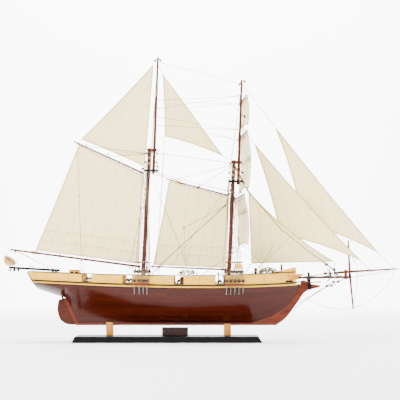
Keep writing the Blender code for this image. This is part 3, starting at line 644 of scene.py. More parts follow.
def bulwark_details():
    """Timberheads inside the bulwarks, panel joints outside and frames round the ports."""
    for word, side in (("starboard", -1), ("port", 1)):
        heads = Group()
        for x in steps(-0.285, 0.285, 27):
            if min(abs(x - p) for p in GUN_PORTS) < 0.0135:
                continue
            foot, top = deck_z(x) + 0.0004, rail_z(x) - 0.0004
            inner = side_flare(x, (foot + top) / 2) - BULWARK_THICK
            centre = Vector((x + stern_lean(x, top) * 0.9, side * (inner - 0.0012), (foot + top) / 2))
            heads.block(centre, (0.0032, 0.0024, top - foot), edge=0.0003)
        heads.done("timberheads_" + word, "box", slot="boxwood")
        frames = Group()
        for x in GUN_PORTS:
            sill = deck_z(x) + 0.0035
            top = rail_z(x) - 0.0003
            y = side * (side_flare(x, (sill + top) / 2) - BULWARK_THICK / 2)
            for dx in (-0.0104, 0.0104):
                frames.block((x + dx, y, (sill + top) / 2), (0.0012, 0.004, top - sill), edge=0.0002)
            frames.block((x, y, sill - 0.0004), (0.022, 0.0042, 0.0012), edge=0.0002)
        frames.done("port_frames_" + word, "black", slot="black_paint")
        joints = Group()
        for x in (-0.292, -0.225, -0.135, -0.04, 0.075, 0.165, 0.225):
            low_z, top = deck_z(x) + 0.0018, rail_z(x) - 0.0004
            a, b = on_side(x, low_z, side, 0.00008), on_side(x, top, side, 0.00008)
            joints.rod(a, b, 0.00022, sides=6)
        joints.done("panel_joints_" + word, "channel")


def rudder_fittings():
    """Straps on the rudder and gudgeons on the sternpost."""
    low_end, high_end = Vector((-0.2173, 0, 0.041)), Vector((-0.2443, 0, 0.1005))
    straps, gudgeons = Group(), Group()
    line = high_end - low_end
    aft = Vector((-line.z, 0, line.x)).normalized()
    for share in (0.14, 0.46, 0.8):
        point = low_end + line * share
        for out in (-0.0022, 0.0022):
            straps.block(None, (0.011, 0.0003, 0.0018), edge=0.0001,
                         matrix=aimed(point + aft * 0.007 + Vector((0, out, 0)), line) @ Matrix.Identity(4))
        gudgeons.rod(point - line.normalized() * 0.0016 - aft * 0.0002,
                     point + line.normalized() * 0.0016 - aft * 0.0002, 0.0009)
    stock = Group()
    stock.rod(low_end - line.normalized() * 0.0008, high_end + line.normalized() * 0.006, 0.0023, sides=18)
    stock.done("rudder_stock", "mahogany", "rudder_body", slot="mahogany")
    straps.done("rudder_straps", "brass", "rudder_body")
    gudgeons.done("rudder_gudgeons", "brass")


RAISED_FROM = 0.258


def two_tone_rail(word):
    """The cap rail is black amidships and pale where the bulwark steps up at the bow."""
    rail = refined("cap_rail_" + word, "black", bevel=0.0004, smooth_angle=30)
    rail.data.materials.append(LOOKS["box_flat"])
    for face in rail.data.polygons:
        if face.center.x > RAISED_FROM:
            face.material_index = 1
    side = -1 if word == "starboard" else 1
    side_band("bow_moulding_" + word, "black", steps(0.244, 0.302, 16), lambda x: rail_z(x) - 0.0006,
              lambda x: rail_z(x) + 0.0014, 0.0002, 0.0012, 0.0, side)


def make_hull():
    hull_skin()
    strakes_and_lines()
    bulwark_details()
    rudder_fittings()
    for word in ("starboard", "port"):
        refined("bulwark_" + word, "box_flat", bevel=0.0)
        two_tone_rail(word)
    refined("keel_and_stem", "stem", bevel=0.0006)
    refined("transom", "mahogany", bevel=0.0004)
    refined("rudder", "mahogany", bevel=0.0006)
    paint("deck", "deck")


# ---------------------------------------------------------------- sails
CLOTH_HALF = 0.00022
HEM_HALF, SEAM_HALF = 0.00055, 0.00036
HEM_WIDTH, SEAM_WIDTH, REEF_WIDTH = 0.0026, 0.0011, 0.0012


class Sail:
    """A cloth between four edges. s runs from the luff to the leech, t from the foot to the head."""

    def __init__(self, tack, clew, peak, throat, belly=0.0, free_foot=False, hollow=(0, 0, 0, 0), seed=0.0,
                 profile=None, toward=(0, 1, 0), wrinkle=0.0006):
        self.tack, self.clew, self.peak, self.throat = (Vector(p) for p in (tack, clew, peak, throat))
        self.centre = (self.tack + self.clew + self.peak + self.throat) / 4
        normal = (self.clew - self.throat).cross(self.peak - self.tack)
        if (self.peak - self.throat).length < 0.002:
            normal = (self.clew - self.tack).cross(self.peak - self.tack)
        self.normal = normal.normalized()
        if self.normal.dot(Vector(toward)) < 0:
            self.normal = -self.normal
        self.belly, self.free_foot, self.hollow = belly, free_foot, hollow
        self.seed, self.profile, self.wrinkle = seed, profile, wrinkle

    def edge(self, start, end, hollow, share):
        point = start.lerp(end, share)
        if hollow:
            inward = self.normal.cross(end - start).normalized()
            if inward.dot(self.centre - (start + end) / 2) < 0:
                inward = -inward
            point = point + inward * hollow * 4 * share * (1 - share)
        return point

    def flat(self, s, t):
        luff, leech, foot, head = self.hollow
        across = (1 - t) * self.edge(self.tack, self.clew, foot, s) + t * self.edge(
            self.throat, self.peak, head, s)
        up = (1 - s) * self.edge(self.tack, self.throat, luff, t) + s * self.edge(
            self.clew, self.peak, leech, t)
        corners = (1 - s) * (1 - t) * self.tack + s * (1 - t) * self.clew + (
            1 - s) * t * self.throat + s * t * self.peak
        return across + up - corners

    def lift(self, s, t):
        """How far the cloth stands off its plane."""
        if self.profile:
            return self.profile(s, t)
        arch = (4 * s * (1 - s)) ** 0.85
        rise = (1 - t**1.6) if self.free_foot else 0.18 + 0.82 * math.sin(math.pi * min(1, max(0, t))) ** 0.8
        return self.belly * arch * rise

    def at(self, s, t):
        s, t = min(1.0, max(0.0, s)), min(1.0, max(0.0, t))
        place_here = Vector((5.5 * s + self.seed, 3.5 * t, self.seed))
        fade = min(1.0, 9 * min(s, 1 - s, t + 0.06, 1 - t + 0.03))
        fold = noise.noise(place_here) + 0.45 * noise.noise(place_here * 2.7)
        return self.flat(s, t) + self.normal * (self.lift(s, t) + self.wrinkle * fade * fold)

    def inward(self, edge, along, distance):
        """The (s, t) that lies a distance inside an edge, at a share along it."""
        if edge in ("luff", "leech"):
            near, far = (0.0, 1.0) if edge == "luff" else (1.0, 0.0)
            here, other = self.flat(near, along), self.flat(far, along)
            tangent = self.flat(near, min(1, along + 0.01)) - self.flat(near, max(0, along - 0.01))
        else:
            near, far = (0.0, 1.0) if edge == "foot" else (1.0, 0.0)
            here, other = self.flat(along, near), self.flat(along, far)
            tangent = self.flat(min(1, along + 0.01), near) - self.flat(max(0, along - 0.01), near)
        row = other - here
        reach = row.cross(tangent.normalized()).length if tangent.length > 1e-9 else row.length
        share = distance / max(reach, 1e-6)
        value = near + (far - near) * share
        return ((value, along) if edge in ("luff", "leech") else (along, value)), share

    def ribbon(self, bm, edge, distance, width, half, count=26, start=0.0, end=1.0):
        """A narrow band of cloth that follows an edge at a distance inside it."""
        rings = []
        for i in range(count + 1):
            along = start + (end - start) * i / count
            inner, outer = distance + width / 2, max(0.0, distance - width / 2)
            (a, share_a), (b, _) = self.inward(edge, along, outer), self.inward(edge, along, inner)
            if share_a > 0.985:
                if rings:
                    break
                continue
            p, q = self.at(*a), self.at(*b)
            if (p - q).length < width * 0.15:
                continue
            n = self.normal * half
            rings.append([p + n, q + n, q - n, p - n])
        if len(rings) < 2:
            return
        verts = [[bm.verts.new(v) for v in ring] for ring in rings]
        for first, second in zip(verts, verts[1:]):
            for k in range(4):
                j = (k + 1) % 4
                bm.faces.new((first[k], first[j], second[j], second[k]))
        bm.faces.new(verts[0])
        bm.faces.new(verts[-1])

    def cloth(self, name, body, across=36, up=44):
        """The sail's own cloth, as one closed thin sheet."""
        bm = bmesh.new()
        sides = []
        for sign in (1, -1):
            grid = []
            for j in range(up + 1):
                row = [bm.verts.new(self.at(i / across, j / up) + self.normal * sign * CLOTH_HALF)
                       for i in range(across + 1)]
                grid.append(row)
            sides.append(grid)
        front, back = sides
        for j in range(up):
            for i in range(across):
                bm.faces.new((front[j][i], front[j][i + 1], front[j + 1][i + 1], front[j + 1][i]))
                bm.faces.new((back[j][i], back[j + 1][i], back[j + 1][i + 1], back[j][i + 1]))
        rim = ([(0, i) for i in range(across)] + [(j, across) for j in range(up)]
               + [(up, i) for i in range(across, 0, -1)] + [(j, 0) for j in range(up, 0, -1)])
        for k, (j, i) in enumerate(rim):
            jj, ii = rim[(k + 1) % len(rim)]
            bm.faces.new((front[j][i], back[j][i], back[jj][ii], front[jj][ii]))
        bmesh.ops.remove_doubles(bm, verts=bm.verts, dist=2e-6)
        bmesh.ops.recalc_face_normals(bm, faces=bm.faces)
        mesh = bpy.data.meshes.new(name)
        bm.to_mesh(mesh)
        bm.free()
        return place(mesh, name, "sail", body, smooth_angle=60)

    def cut_size(self):
        """The smaller and larger side of the rectangle that the cut is taken from."""
        corners = [self.tack, self.clew, self.peak, self.throat]
        edges = [b - a for a, b in zip(corners, corners[1:] + corners[:1])]
        along = max(edges, key=lambda e: e.length).normalized()
        across = self.normal.cross(along).normalized()
        sides = []
        for way in (across, along):
            reach = [c.dot(way) for c in corners]
            sides.append(max(reach) - min(reach))
        return tuple(sides)

    def area(self):
        """The flat area of the cut."""
        total, n = 0.0, 24
        for i in range(n):
            for j in range(n):
                a, b = self.flat(i / n, j / n), self.flat((i + 1) / n, j / n)
                c, d = self.flat((i + 1) / n, (j + 1) / n), self.flat(i / n, (j + 1) / n)
                total += ((b - a).cross(c - a).length + (c - a).cross(d - a).length) / 2
        return total


def rig_sail(node, sail, body, spacing, seam_edge="leech", reefs=(),
             triangle=False,
             hem=HEM_WIDTH):
    """Cloth, seams, reef bands, hems and boltrope of one sail."""
    cloth_piece = sail.cloth(node + "_cloth", body)
    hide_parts(node)
    seams = bmesh.new()
    far = max((sail.clew - sail.tack).length, (sail.peak - sail.throat).length)
    if seam_edge == "even":
        count = max(3, round(far / spacing))
        for k in range(1, count):
            add_even_seam(sail, seams, k / count)
    else:
        for k in range(1, int(far / spacing) + 3):
            sail.ribbon(seams, seam_edge, k * spacing, SEAM_WIDTH, SEAM_HALF)
    seam_piece = finish_bands(seams, node + "_seams", "seam", body)
    hems = bmesh.new()
    edges = ("luff", "leech", "foot") if triangle else ("luff", "leech", "foot", "head")
    for edge in edges:
        sail.ribbon(hems, edge, hem / 2, hem, HEM_HALF, count=40)
    for distance in reefs:
        sail.ribbon(hems, "foot", distance, REEF_WIDTH, HEM_HALF * 0.9, count=36, start=0.012, end=0.988)
    hem_piece = finish_bands(hems, node + "_hems", "hem", body)
    rope_line = Group()
    loop = [sail.at(i / 24, 0) for i in range(24)] + [sail.at(1, i / 24) for i in range(24)]
    if not triangle:
        loop += [sail.at(1 - i / 24, 1) for i in range(24)]
    loop += [sail.at(0, 1 - i / 24) for i in range(24)]
    rope_line.tube(loop, 0.00055, sides=6, closed=True)
    boltrope = rope_line.done(node + "_boltrope", "pale_rope", body, slot="dark_rope")
    sail.cut_size()
    sail.area()
    return cloth_piece


def add_even_seam(sail, bm, share):
    """A seam at a constant share between luff and leech, as on a square sail."""
    half = SEAM_WIDTH / 2 / (sail.clew - sail.tack).length
    rings = []
    for i in range(25):
        t = 0.01 + 0.98 * i / 24
        p, q = sail.at(share - half, t), sail.at(share + half, t)
        n = sail.normal * SEAM_HALF
        rings.append([bm.verts.new(v) for v in (p + n, q + n, q - n, p - n)])
    for first, second in zip(rings, rings[1:]):
        for k in range(4):
            j = (k + 1) % 4
            bm.faces.new((first[k], first[j], second[j], second[k]))
    bm.faces.new(rings[0])
    bm.faces.new(rings[-1])


def finish_bands(bm, name, look, body):
    bmesh.ops.recalc_face_normals(bm, faces=bm.faces)
    mesh = bpy.data.meshes.new(name)
    bm.to_mesh(mesh)
    bm.free()
    piece = place(mesh, name, look, body, smooth_angle=50)
    return piece


def make_gaff_sails():
    main = Sail((-0.068, 0, 0.183), (-0.308, 0, 0.215), (-0.207, 0, 0.461), (-0.057, 0, 0.3905),
                belly=0.01, hollow=(0, 0.001, 0, 0), seed=1.3)
    rig_sail("mainsail", main, "main_boom_body", 0.0262, reefs=(0.026, 0.05))
    top = Sail((-0.053, 0, 0.4105), (-0.2014, 0, 0.474), (-0.0325, 0, 0.649), (-0.0325, 0, 0.649),
               belly=0.007, free_foot=True, hollow=(0, 0.002, 0.002, 0), seed=3.1)
    rig_sail("main_gaff_topsail", top, "main_boom_body", 0.0262,
             triangle=True)
    fore = Sail((0.1372, 0, 0.1735), (-0.033, 0, 0.181), (0.004, 0, 0.3765), (0.1415, 0, 0.3396),
                belly=0.007, hollow=(0, 0.001, 0, 0), seed=5.7)
    rig_sail("fore_sail", fore, "fore_boom_body", 0.0255, reefs=(0.026, 0.046))
    return main, top, fore


def make_stay_sails():
    stay = Sail((0.13, 0, 0.435), (-0.006, 0.006, 0.482), (-0.011, 0, 0.627), (-0.011, 0, 0.627),
                belly=0.006, free_foot=True, hollow=(0, 0.002, 0.004, 0), seed=7.2)
    rig_sail("main_topmast_staysail", stay, SHIP, 0.025, triangle=True)
    fore_stay = Sail((0.39, 0, 0.188), (0.198, 0.016, 0.184), (0.19, 0, 0.352), (0.19, 0, 0.352),
                     belly=0.005, free_foot=True, hollow=(0.01, 0, 0, 0), seed=9.4)
    rig_sail("fore_staysail", fore_stay, SHIP, 0.024, triangle=True)
    jib = Sail((0.453, 0, 0.19), (0.266, 0.024, 0.252), (0.203, 0, 0.465), (0.203, 0, 0.465),
               belly=0.003, free_foot=True, hollow=(0.004, 0.004, 0.006, 0), seed=11.8)
    rig_sail("jib", jib, SHIP, 0.024, triangle=True)
    flying = Sail((0.494, 0, 0.208), (0.32, 0.026, 0.278), (0.252, 0, 0.503), (0.252, 0, 0.503),
                  belly=0.003, free_foot=True, hollow=(0.002, 0.006, 0.006, 0), seed=13.9)
    rig_sail("flying_jib", flying, SHIP, 0.024, triangle=True)


def square_frame(node):
    """The centre of a square yard at rest, the direction along it to port, and its length."""
    start, end = spar_ends(node)
    across = (end - start).normalized()
    if across.y < 0:
        across = -across
    return (start + end) / 2, across, (end - start).length


SQUARES = (
    ("course", "course", "course_body", 0.0026, 0.224, 0.117, 0.116,
     (0.0025, 0.0085, 0.013, 0.0155, 0.016, 0.015, 0.013)),
    ("topsail", "topsail", "topsail_body", 0.0022, 0.353, 0.1008, 0.118,
     (0.0025, 0.0075, 0.0105, 0.0115, 0.0105, 0.0075, 0.003)),
    ("topgallant", "topgallant_sail", "topgallant_body", 0.0018, 0.5, 0.0774, 0.096,
     (0.0025, 0.005, 0.0065, 0.007, 0.006, 0.004, 0.002)),
)


def make_square_sails():
    """Each hangs from its yard, with a belly forward that is fullest in the middle."""
    made = {}
    for word, node, body, radius, foot_z, half_top, half_foot, offsets in SQUARES:
        centre, across, _ = square_frame(word + "_yard")
        forward = Vector((across.y, -across.x, 0))
        head_z = centre.z - radius - 0.001
        steps_up = list(reversed(offsets))

        def profile(s, t, table=steps_up):
            place_here = t * (len(table) - 1)
            i = min(len(table) - 2, int(place_here))
            f = place_here - i
            value = table[i] * (1 - f) + table[i + 1] * f
            return value * (0.72 + 0.33 * 4 * s * (1 - s) * (0.3 + 0.7 * t if t < 0.3 else 1.0)) + 0.0005

        def corner(side, half, z):
            point = centre + across * side * half
            return Vector((point.x, point.y, z))

        sail = Sail(corner(-1, half_foot, foot_z), corner(1, half_foot, foot_z), corner(1, half_top, head_z),
                    corner(-1, half_top, head_z), hollow=(0.0015, 0.0015, 0.006, 0), seed=len(word) * 1.7,
                    profile=profile, toward=forward, wrinkle=0.0005)
        reefs = {"course": (0.086,), "topsail": (0.075, 0.1), "topgallant": ()}[word]
        rig_sail(node, sail, body, 0.025, seam_edge="even", reefs=reefs,
                 hem=0.003)
        made[word] = sail
    return made


# ---------------------------------------------------------------- stand
def make_stand():
    refined("base_board", "base", bevel=0.0012, smooth_angle=30)
    refined("stand_post_aft", "post", bevel=0.0009, smooth_angle=50)
    refined("stand_post_fore", "post", bevel=0.0009, smooth_angle=50)
    refined("name_plaque", "plaque", bevel=0.0006, smooth_angle=30)
    pins = Group()
    a, b = low("name_plaque"), high("name_plaque")
    for x in (a.x + 0.0035, b.x - 0.0035):
        pins.ball((x, a.y - 0.0001, (a.z + b.z) / 2), 0.0008)
    pins.done("plaque_pins", "brass")
    feet = Group()
    for x in (-0.195, 0.195):
        for y in (-0.042, 0.042):
            feet.rod((x, y, 0.0), (x, y, 0.0006), 0.0075, sides=24)
    feet.done("base_pads", "iron")


# ---------------------------------------------------------------- masts and spars
ROPE, THREAD = 0.00055, 0.0004
ROPE_SCALE = 1.3


def band(group, node, z=None, x=None, radius=0.004, width=0.0022):
    """A hoop round a spar, square to its axis."""
    start, end = spar_ends(node)
    point = on_spar(node, z=z, x=x)
    along = (end - start).normalized() * width / 2
    group.rod(point - along, point + along, radius, sides=20)


def lashing(group, point, direction, radius, turns, cord=0.00045):
    """Close turns of small line round a spar."""
    way = Vector(direction).normalized()
    group.coil(Vector(point) - way * turns * cord, radius + cord, cord, turns, way, rise=turns * cord * 2.05)


def make_masts():
    for node in ("main_lower_mast", "main_topmast", "fore_lower_mast", "fore_topmast"):
        refined(node, "mast", bevel=0.0, smooth_angle=60)
    for node, look in (("main_mast_cap", "mast"), ("fore_mast_cap", "mast"),
                       ("main_mast_crosstrees", "black"),
                       ("fore_mast_crosstrees", "black")):
        refined(node, look, bevel=0.0004)
    hoops, bands, trucks, pale = Group(), Group(), Group(), Group()
    for mast, start_z, end_z, count, radius in (
        ("main_lower_mast", 0.192, 0.372, 14, 0.005), ("fore_lower_mast", 0.182, 0.334, 12, 0.0049),
    ):
        a, b = spar_ends(mast)
        way = (b - a).normalized()
        for z in steps(start_z, end_z, count):
            point = on_spar(mast, z=z)
            matrix = aimed(point, way + Vector((0.1, 0, 0)))
            ring = [matrix @ Vector(((radius + 0.0011) * math.cos(t), (radius + 0.0011) * math.sin(t), 0))
                    for t in ring_angles(20)]
            hoops.tube(ring, 0.00065, sides=6, closed=True)
    for node, heights, radius in (
        ("main_lower_mast", (0.14, 0.144, 0.388, 0.44), 0.0053),
        ("fore_lower_mast", (0.138, 0.142, 0.362, 0.412), 0.0053),
        ("main_topmast", (0.46, 0.63), 0.0036), ("fore_topmast", (0.433, 0.59), 0.0036),
    ):
        for z in heights:
            band(bands, node, z=z, radius=radius if z < 0.58 else radius * 0.76)
    for node, z in (("main_topmast", 0.664), ("fore_topmast", 0.6105)):
        point = on_spar(node, z=z)
        trucks.lathe(((0, -0.001), (0.0026, -0.0008), (0.0031, 0.0), (0.0025, 0.0009), (0, 0.0011)),
                     aimed(point), 16)
    a, b = spar_ends("main_topmast")
    lashing(pale, on_spar("main_topmast", z=0.5835), b - a, 0.0027, 26, 0.00042)
    for node, zs in (("main_lower_mast", (0.417, 0.43)), ("fore_lower_mast", (0.39, 0.403))):
        a, b = spar_ends(node)
        for z in zs:
            lashing(pale, on_spar(node, z=z), b - a, 0.0044, 6)
    hoops.done("mast_hoops", "mast", slot="spar_wood")
    bands.done("mast_bands", "iron", slot="black_paint")
    trucks.done("mast_trucks", "black", slot="black_paint")
    pale.done("mast_lashings", "pale_rope")
    trees = Group()
    for x_half, y_half in ((0.007, 0.0009), (0.0009, 0.012)):
        point = on_spar("fore_topmast", z=0.508)
        trees.block((point.x, point.y, point.z), (2 * x_half, 2 * y_half + 0.0012, 0.0014), edge=0.0002)
    trees.done("fore_topmast_trees", "black", slot="black_paint")


def make_spars():
    for node in ("bowsprit", "jib_boom", "spritsail_yard", "main_boom", "main_gaff", "fore_boom", "fore_gaff",
                 "course_yard", "topsail_yard", "topgallant_yard"):
        refined(node, "spar", bevel=0.0, smooth_angle=60)
    refined("bowsprit_cap", "stem", bevel=0.0004)
    rings = Group()
    for node, xs, radius in (
        ("bowsprit", (0.325, 0.364), 0.0032), ("jib_boom", (0.4,), 0.003), ("jib_boom", (0.456,), 0.0029),
        ("jib_boom", (0.529,), 0.0021),
    ):
        for x in xs:
            point = spar_point(node, x)
            rings.rod(point - Vector((0.001, 0, 0)), point + Vector((0.001, 0, 0)), radius, sides=18)
    rings.done("bowsprit_bands", "iron", slot="black_paint")


SPAR_LINES = {
    "bowsprit": ((0.268, 0.15), (0.396, 0.1512), (0.4245, 0.1516)),
    "jib_boom": ((0.389, 0.161), (0.425, 0.1642), (0.49, 0.168), (0.54, 0.171)),
    "main_boom": ((-0.367, 0.216), (-0.2, 0.1945), (-0.0625, 0.176)),
    "main_gaff": ((-0.219, 0.469), (-0.054, 0.3935)),
    "fore_boom": ((-0.04, 0.177), (0.1388, 0.169)),
    "fore_gaff": ((-0.002, 0.381), (0.1445, 0.342)),
}


def spar_point(node, x):
    """A point on the axis of a spar that lies in the centre plane."""
    return Vector((x, 0, between(SPAR_LINES[node], x)))


def spar_way(node, x):
    return (spar_point(node, x + 0.002) - spar_point(node, x - 0.002)).normalized()


def lace_sail(group, node, first, last, spar_of_edge, count, spar_radius, cord=0.00028):
    """Robands: one loop round the spar at each step along the edge of the sail."""
    for i in range(count):
        share = (i + 0.5) / count
        x = first + (last - first) * share
        centre = spar_point(node, x)
        edge = spar_of_edge(share)
        away = edge - centre
        reach = away.length
        way = spar_way(node, x)
        side = way.cross(away).normalized()
        up = away.normalized()
        half = (reach + 0.001 + spar_radius + 0.0006) / 2
        middle = centre + up * (reach + 0.001 - spar_radius - 0.0006) / 2
        loop = [middle + up * half * math.cos(t) + side * (spar_radius + 0.0006) * math.sin(t)
                + way * 0.0006 * math.sin(t) for t in ring_angles(14)]
        group.tube(loop, cord, sides=5, closed=True)


def make_bends(main, top, fore):
    """The lines that hold the gaff sails to their spars and masts."""
    main_ties, fore_ties = Group(), Group()
    lace_sail(main_ties, "main_gaff", -0.204, -0.062, lambda s: main.at(1 - s, 1), 15, 0.0021)
    lace_sail(fore_ties, "fore_gaff", 0.006, 0.136, lambda s: fore.at(1 - s, 1), 13, 0.0019)
    for x in (-0.3143, -0.2511, -0.304):
        lashing(main_ties, spar_point("main_boom", x), spar_way("main_boom", x), 0.0026, 6)
    for corner, x, radius in ((main.clew, -0.309, 0.0026), (main.tack, -0.07, 0.0027)):
        main_ties.tube(sagging(corner, spar_point("main_boom", x), 0, 3), ROPE)
        lashing(main_ties, spar_point("main_boom", x), spar_way("main_boom", x), radius, 4)
    for corner, x, radius in ((fore.clew, -0.034, 0.0018), (fore.tack, 0.135, 0.0022)):
        fore_ties.tube(sagging(corner, spar_point("fore_boom", x), 0, 3), ROPE)
        lashing(fore_ties, spar_point("fore_boom", x), spar_way("fore_boom", x), radius, 4)
    for corner, x in ((main.peak, -0.2085), (main.throat, -0.06)):
        lashing(main_ties, spar_point("main_gaff", x), spar_way("main_gaff", x), 0.0021, 4)
    main_ties.tube(sagging(top.clew, spar_point("main_gaff", -0.206), 0, 3), THREAD)
    main_ties.done("mainsail_ties", "tan_rope", "main_boom_body")
    fore_ties.done("fore_sail_ties", "tan_rope", "fore_boom_body")
    fork = Group()
    for node, x, reach in (("main_boom", -0.072, 0.0056), ("main_gaff", -0.066, 0.0031)):
        for side in (-1, 1):
            a, b = spar_point(node, x), spar_point(node, x + 0.0075)
            fork.block(None, (0.0016, 0.0012, 0.012), edge=0.0003,
                       matrix=aimed((a + b) / 2 + Vector((0, side * reach, 0)), b - a))
    fork.done("main_jaws", "black", "main_boom_body", slot="black_paint")
    fork = Group()
    for node, x in (("fore_boom", 0.13), ("fore_gaff", 0.135)):
        for side in (-1, 1):
            a, b = spar_point(node, x), spar_point(node, x + 0.0075)
            fork.block(None, (0.0016, 0.0012, 0.012), edge=0.0003,
                       matrix=aimed((a + b) / 2 + Vector((0, side * 0.0054, 0)), b - a))
    fork.done("fore_jaws", "black", "fore_boom_body", slot="black_paint")


# ---------------------------------------------------------------- channels, deadeyes, shrouds and ratlines
SHROUD_SETS = {
    "main": ((-0.0735, -0.0625, -0.053, -0.0445), (-0.0545, -0.0515, -0.0485, -0.0455), 0.395, 0.139),
    "fore": ((0.137, 0.147, 0.1565, 0.166, 0.1755), (0.144, 0.1465, 0.149, 0.1515, 0.154), 0.37, 0.138),
}
SHROUD_OUT, TOP_OUT, POLE_Z = 0.013, 0.008, 0.186
DEADEYE_RADIUS, DEADEYE_HALF = 0.004, 0.0019


def shroud_point(foot, head, z):
    return foot.lerp(head, (z - foot.z) / (head.z - foot.z))


def deadeye(group, centre, out, radius=DEADEYE_RADIUS, half=DEADEYE_HALF):
    """A round wooden block with a grooved rim."""
    profile = ((0, -half), (radius * 0.72, -half), (radius, -half * 0.55), (radius * 0.93, 0),
               (radius, half * 0.55), (radius * 0.72, half), (0, half))
    group.lathe(profile, aimed(centre, out), 18)


def make_shrouds(word, side):
    feet_x, tops_x, top_z, foot_z = SHROUD_SETS[word]
    label = word + "_" + side_word(side)
    eyes, strops, lanyards, ropes, plates, bolts = (Group() for _ in range(6))
    rats, pole = Group(), Group()
    lines = []
    for x, top_x in zip(feet_x, tops_x):
        foot = Vector((x, side * (half_breadth(x) + SHROUD_OUT), foot_z))
        head = Vector((top_x, side * TOP_OUT, top_z))
        lines.append((foot, head))
        way = (head - foot).normalized()
        out = way.cross(Vector((side, 0, 0))).normalized()
        lower, upper = shroud_point(foot, head, foot_z + 0.0052), shroud_point(foot, head, foot_z + 0.0255)
        for centre in (lower, upper):
            deadeye(eyes, centre, out)
            across = way.cross(out).normalized()
            rim = [centre + (way * math.cos(t) + across * math.sin(t)) * (DEADEYE_RADIUS + 0.0001)
                   for t in ring_angles(18)]
            (strops if centre is lower else ropes).tube(rim, 0.00042, sides=5, closed=True)
        across = way.cross(out).normalized()
        for k in (-1, 0, 1):
            shift = across * 0.0019 * k
            tall = 0.0009 if k == 0 else 0.0
            for face in (-1, 1):
                proud = out * face * (DEADEYE_HALF + 0.0003)
                a = lower + shift + proud + way * tall
                b = upper + shift + proud - way * tall
                lanyards.tube([a, b], 0.00036, sides=5)
        lanyards.coil(upper + way * 0.0046, 0.001, 0.0003, 5, way, rise=0.0028)
        ropes.tube([upper + way * DEADEYE_RADIUS, head], 0.00062, sides=6)
        ropes.coil(upper + way * 0.0078, 0.00075, 0.0003, 8, way, rise=0.0046)
        top, bottom = foot.z - 0.0055, foot.z - 0.027
        high_end = Vector((x, foot.y + side * 0.001, top))
        low_end = on_side(x - 0.0004, bottom, side, 0.0007)
        strap_way = low_end - high_end
        turn = strap_way.to_track_quat("Z", "Y").to_matrix().to_4x4()
        plates.block(None, (0.0015, 0.0006, strap_way.length), edge=0.00012,
                     matrix=Matrix.Translation((high_end + low_end) / 2) @ turn)
        plates.tube([high_end, foot + Vector((0, side * 0.0004, 0.0012))], 0.0005, sides=6)
        bolts.ball(low_end + Vector((0, side * 0.0004, 0.001)), 0.00105, (0, side, 0.2), segments=12)
        bolts.ball(low_end + Vector((0, side * 0.0009, 0.0055)), 0.00085, (0, side, 0.2), segments=10)
    low_z, high_z = POLE_Z + 0.0115, top_z - 0.012
    count = round((high_z - low_z) / 0.0118)
    for i in range(count + 1):
        z = low_z + (high_z - low_z) * i / count
        points = [shroud_point(foot, head, z) for foot, head in lines]
        reach = points[-1].x - points[0].x
        if reach < 0.004:
            continue
        row = []
        for a, b in zip(points, points[1:]):
            row += [a, a.lerp(b, 0.5) - Vector((0, 0, 0.0004))]
        rats.tube([*row, points[-1]], 0.00028, sides=4)
        for p in points:
            rats.ball(p, 0.0008, segments=6)
    first, last = shroud_point(*lines[0], POLE_Z), shroud_point(*lines[-1], POLE_Z)
    more = (last - first).normalized() * 0.0035
    pole.rod(first - more, last + more, 0.0011, sides=10)
    ties = Group()
    for foot, head in lines:
        lashing(ties, shroud_point(foot, head, POLE_Z), last - first, 0.0012, 4, 0.0003)
    ties.done("sheer_pole_ties_" + label, "pale_rope")
    shrouds = ropes.done("shroud_ropes_" + label, "dark_rope", slot="dark_rope")
    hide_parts(word + "_shrouds_" + side_word(side))
    eyes.done("deadeyes_" + label, "block")
    strops.done("deadeye_strops_" + label, "iron")
    lanyards.done("lanyards_" + label, "pale_rope")
    plates.done("chainplates_" + label, "steel")
    bolts.done("chain_bolts_" + label, "steel")
    rats.done("ratlines_" + label, "dark_rope")
    pole.done("sheer_pole_" + label, "stem", slot="stem_wood")


def make_channels():
    for word in ("main", "fore"):
        for side, name in ((-1, "starboard"), (1, "port")):
            refined(word + "_channel_" + name, "channel", bevel=0.0005)
            make_shrouds(word, side)


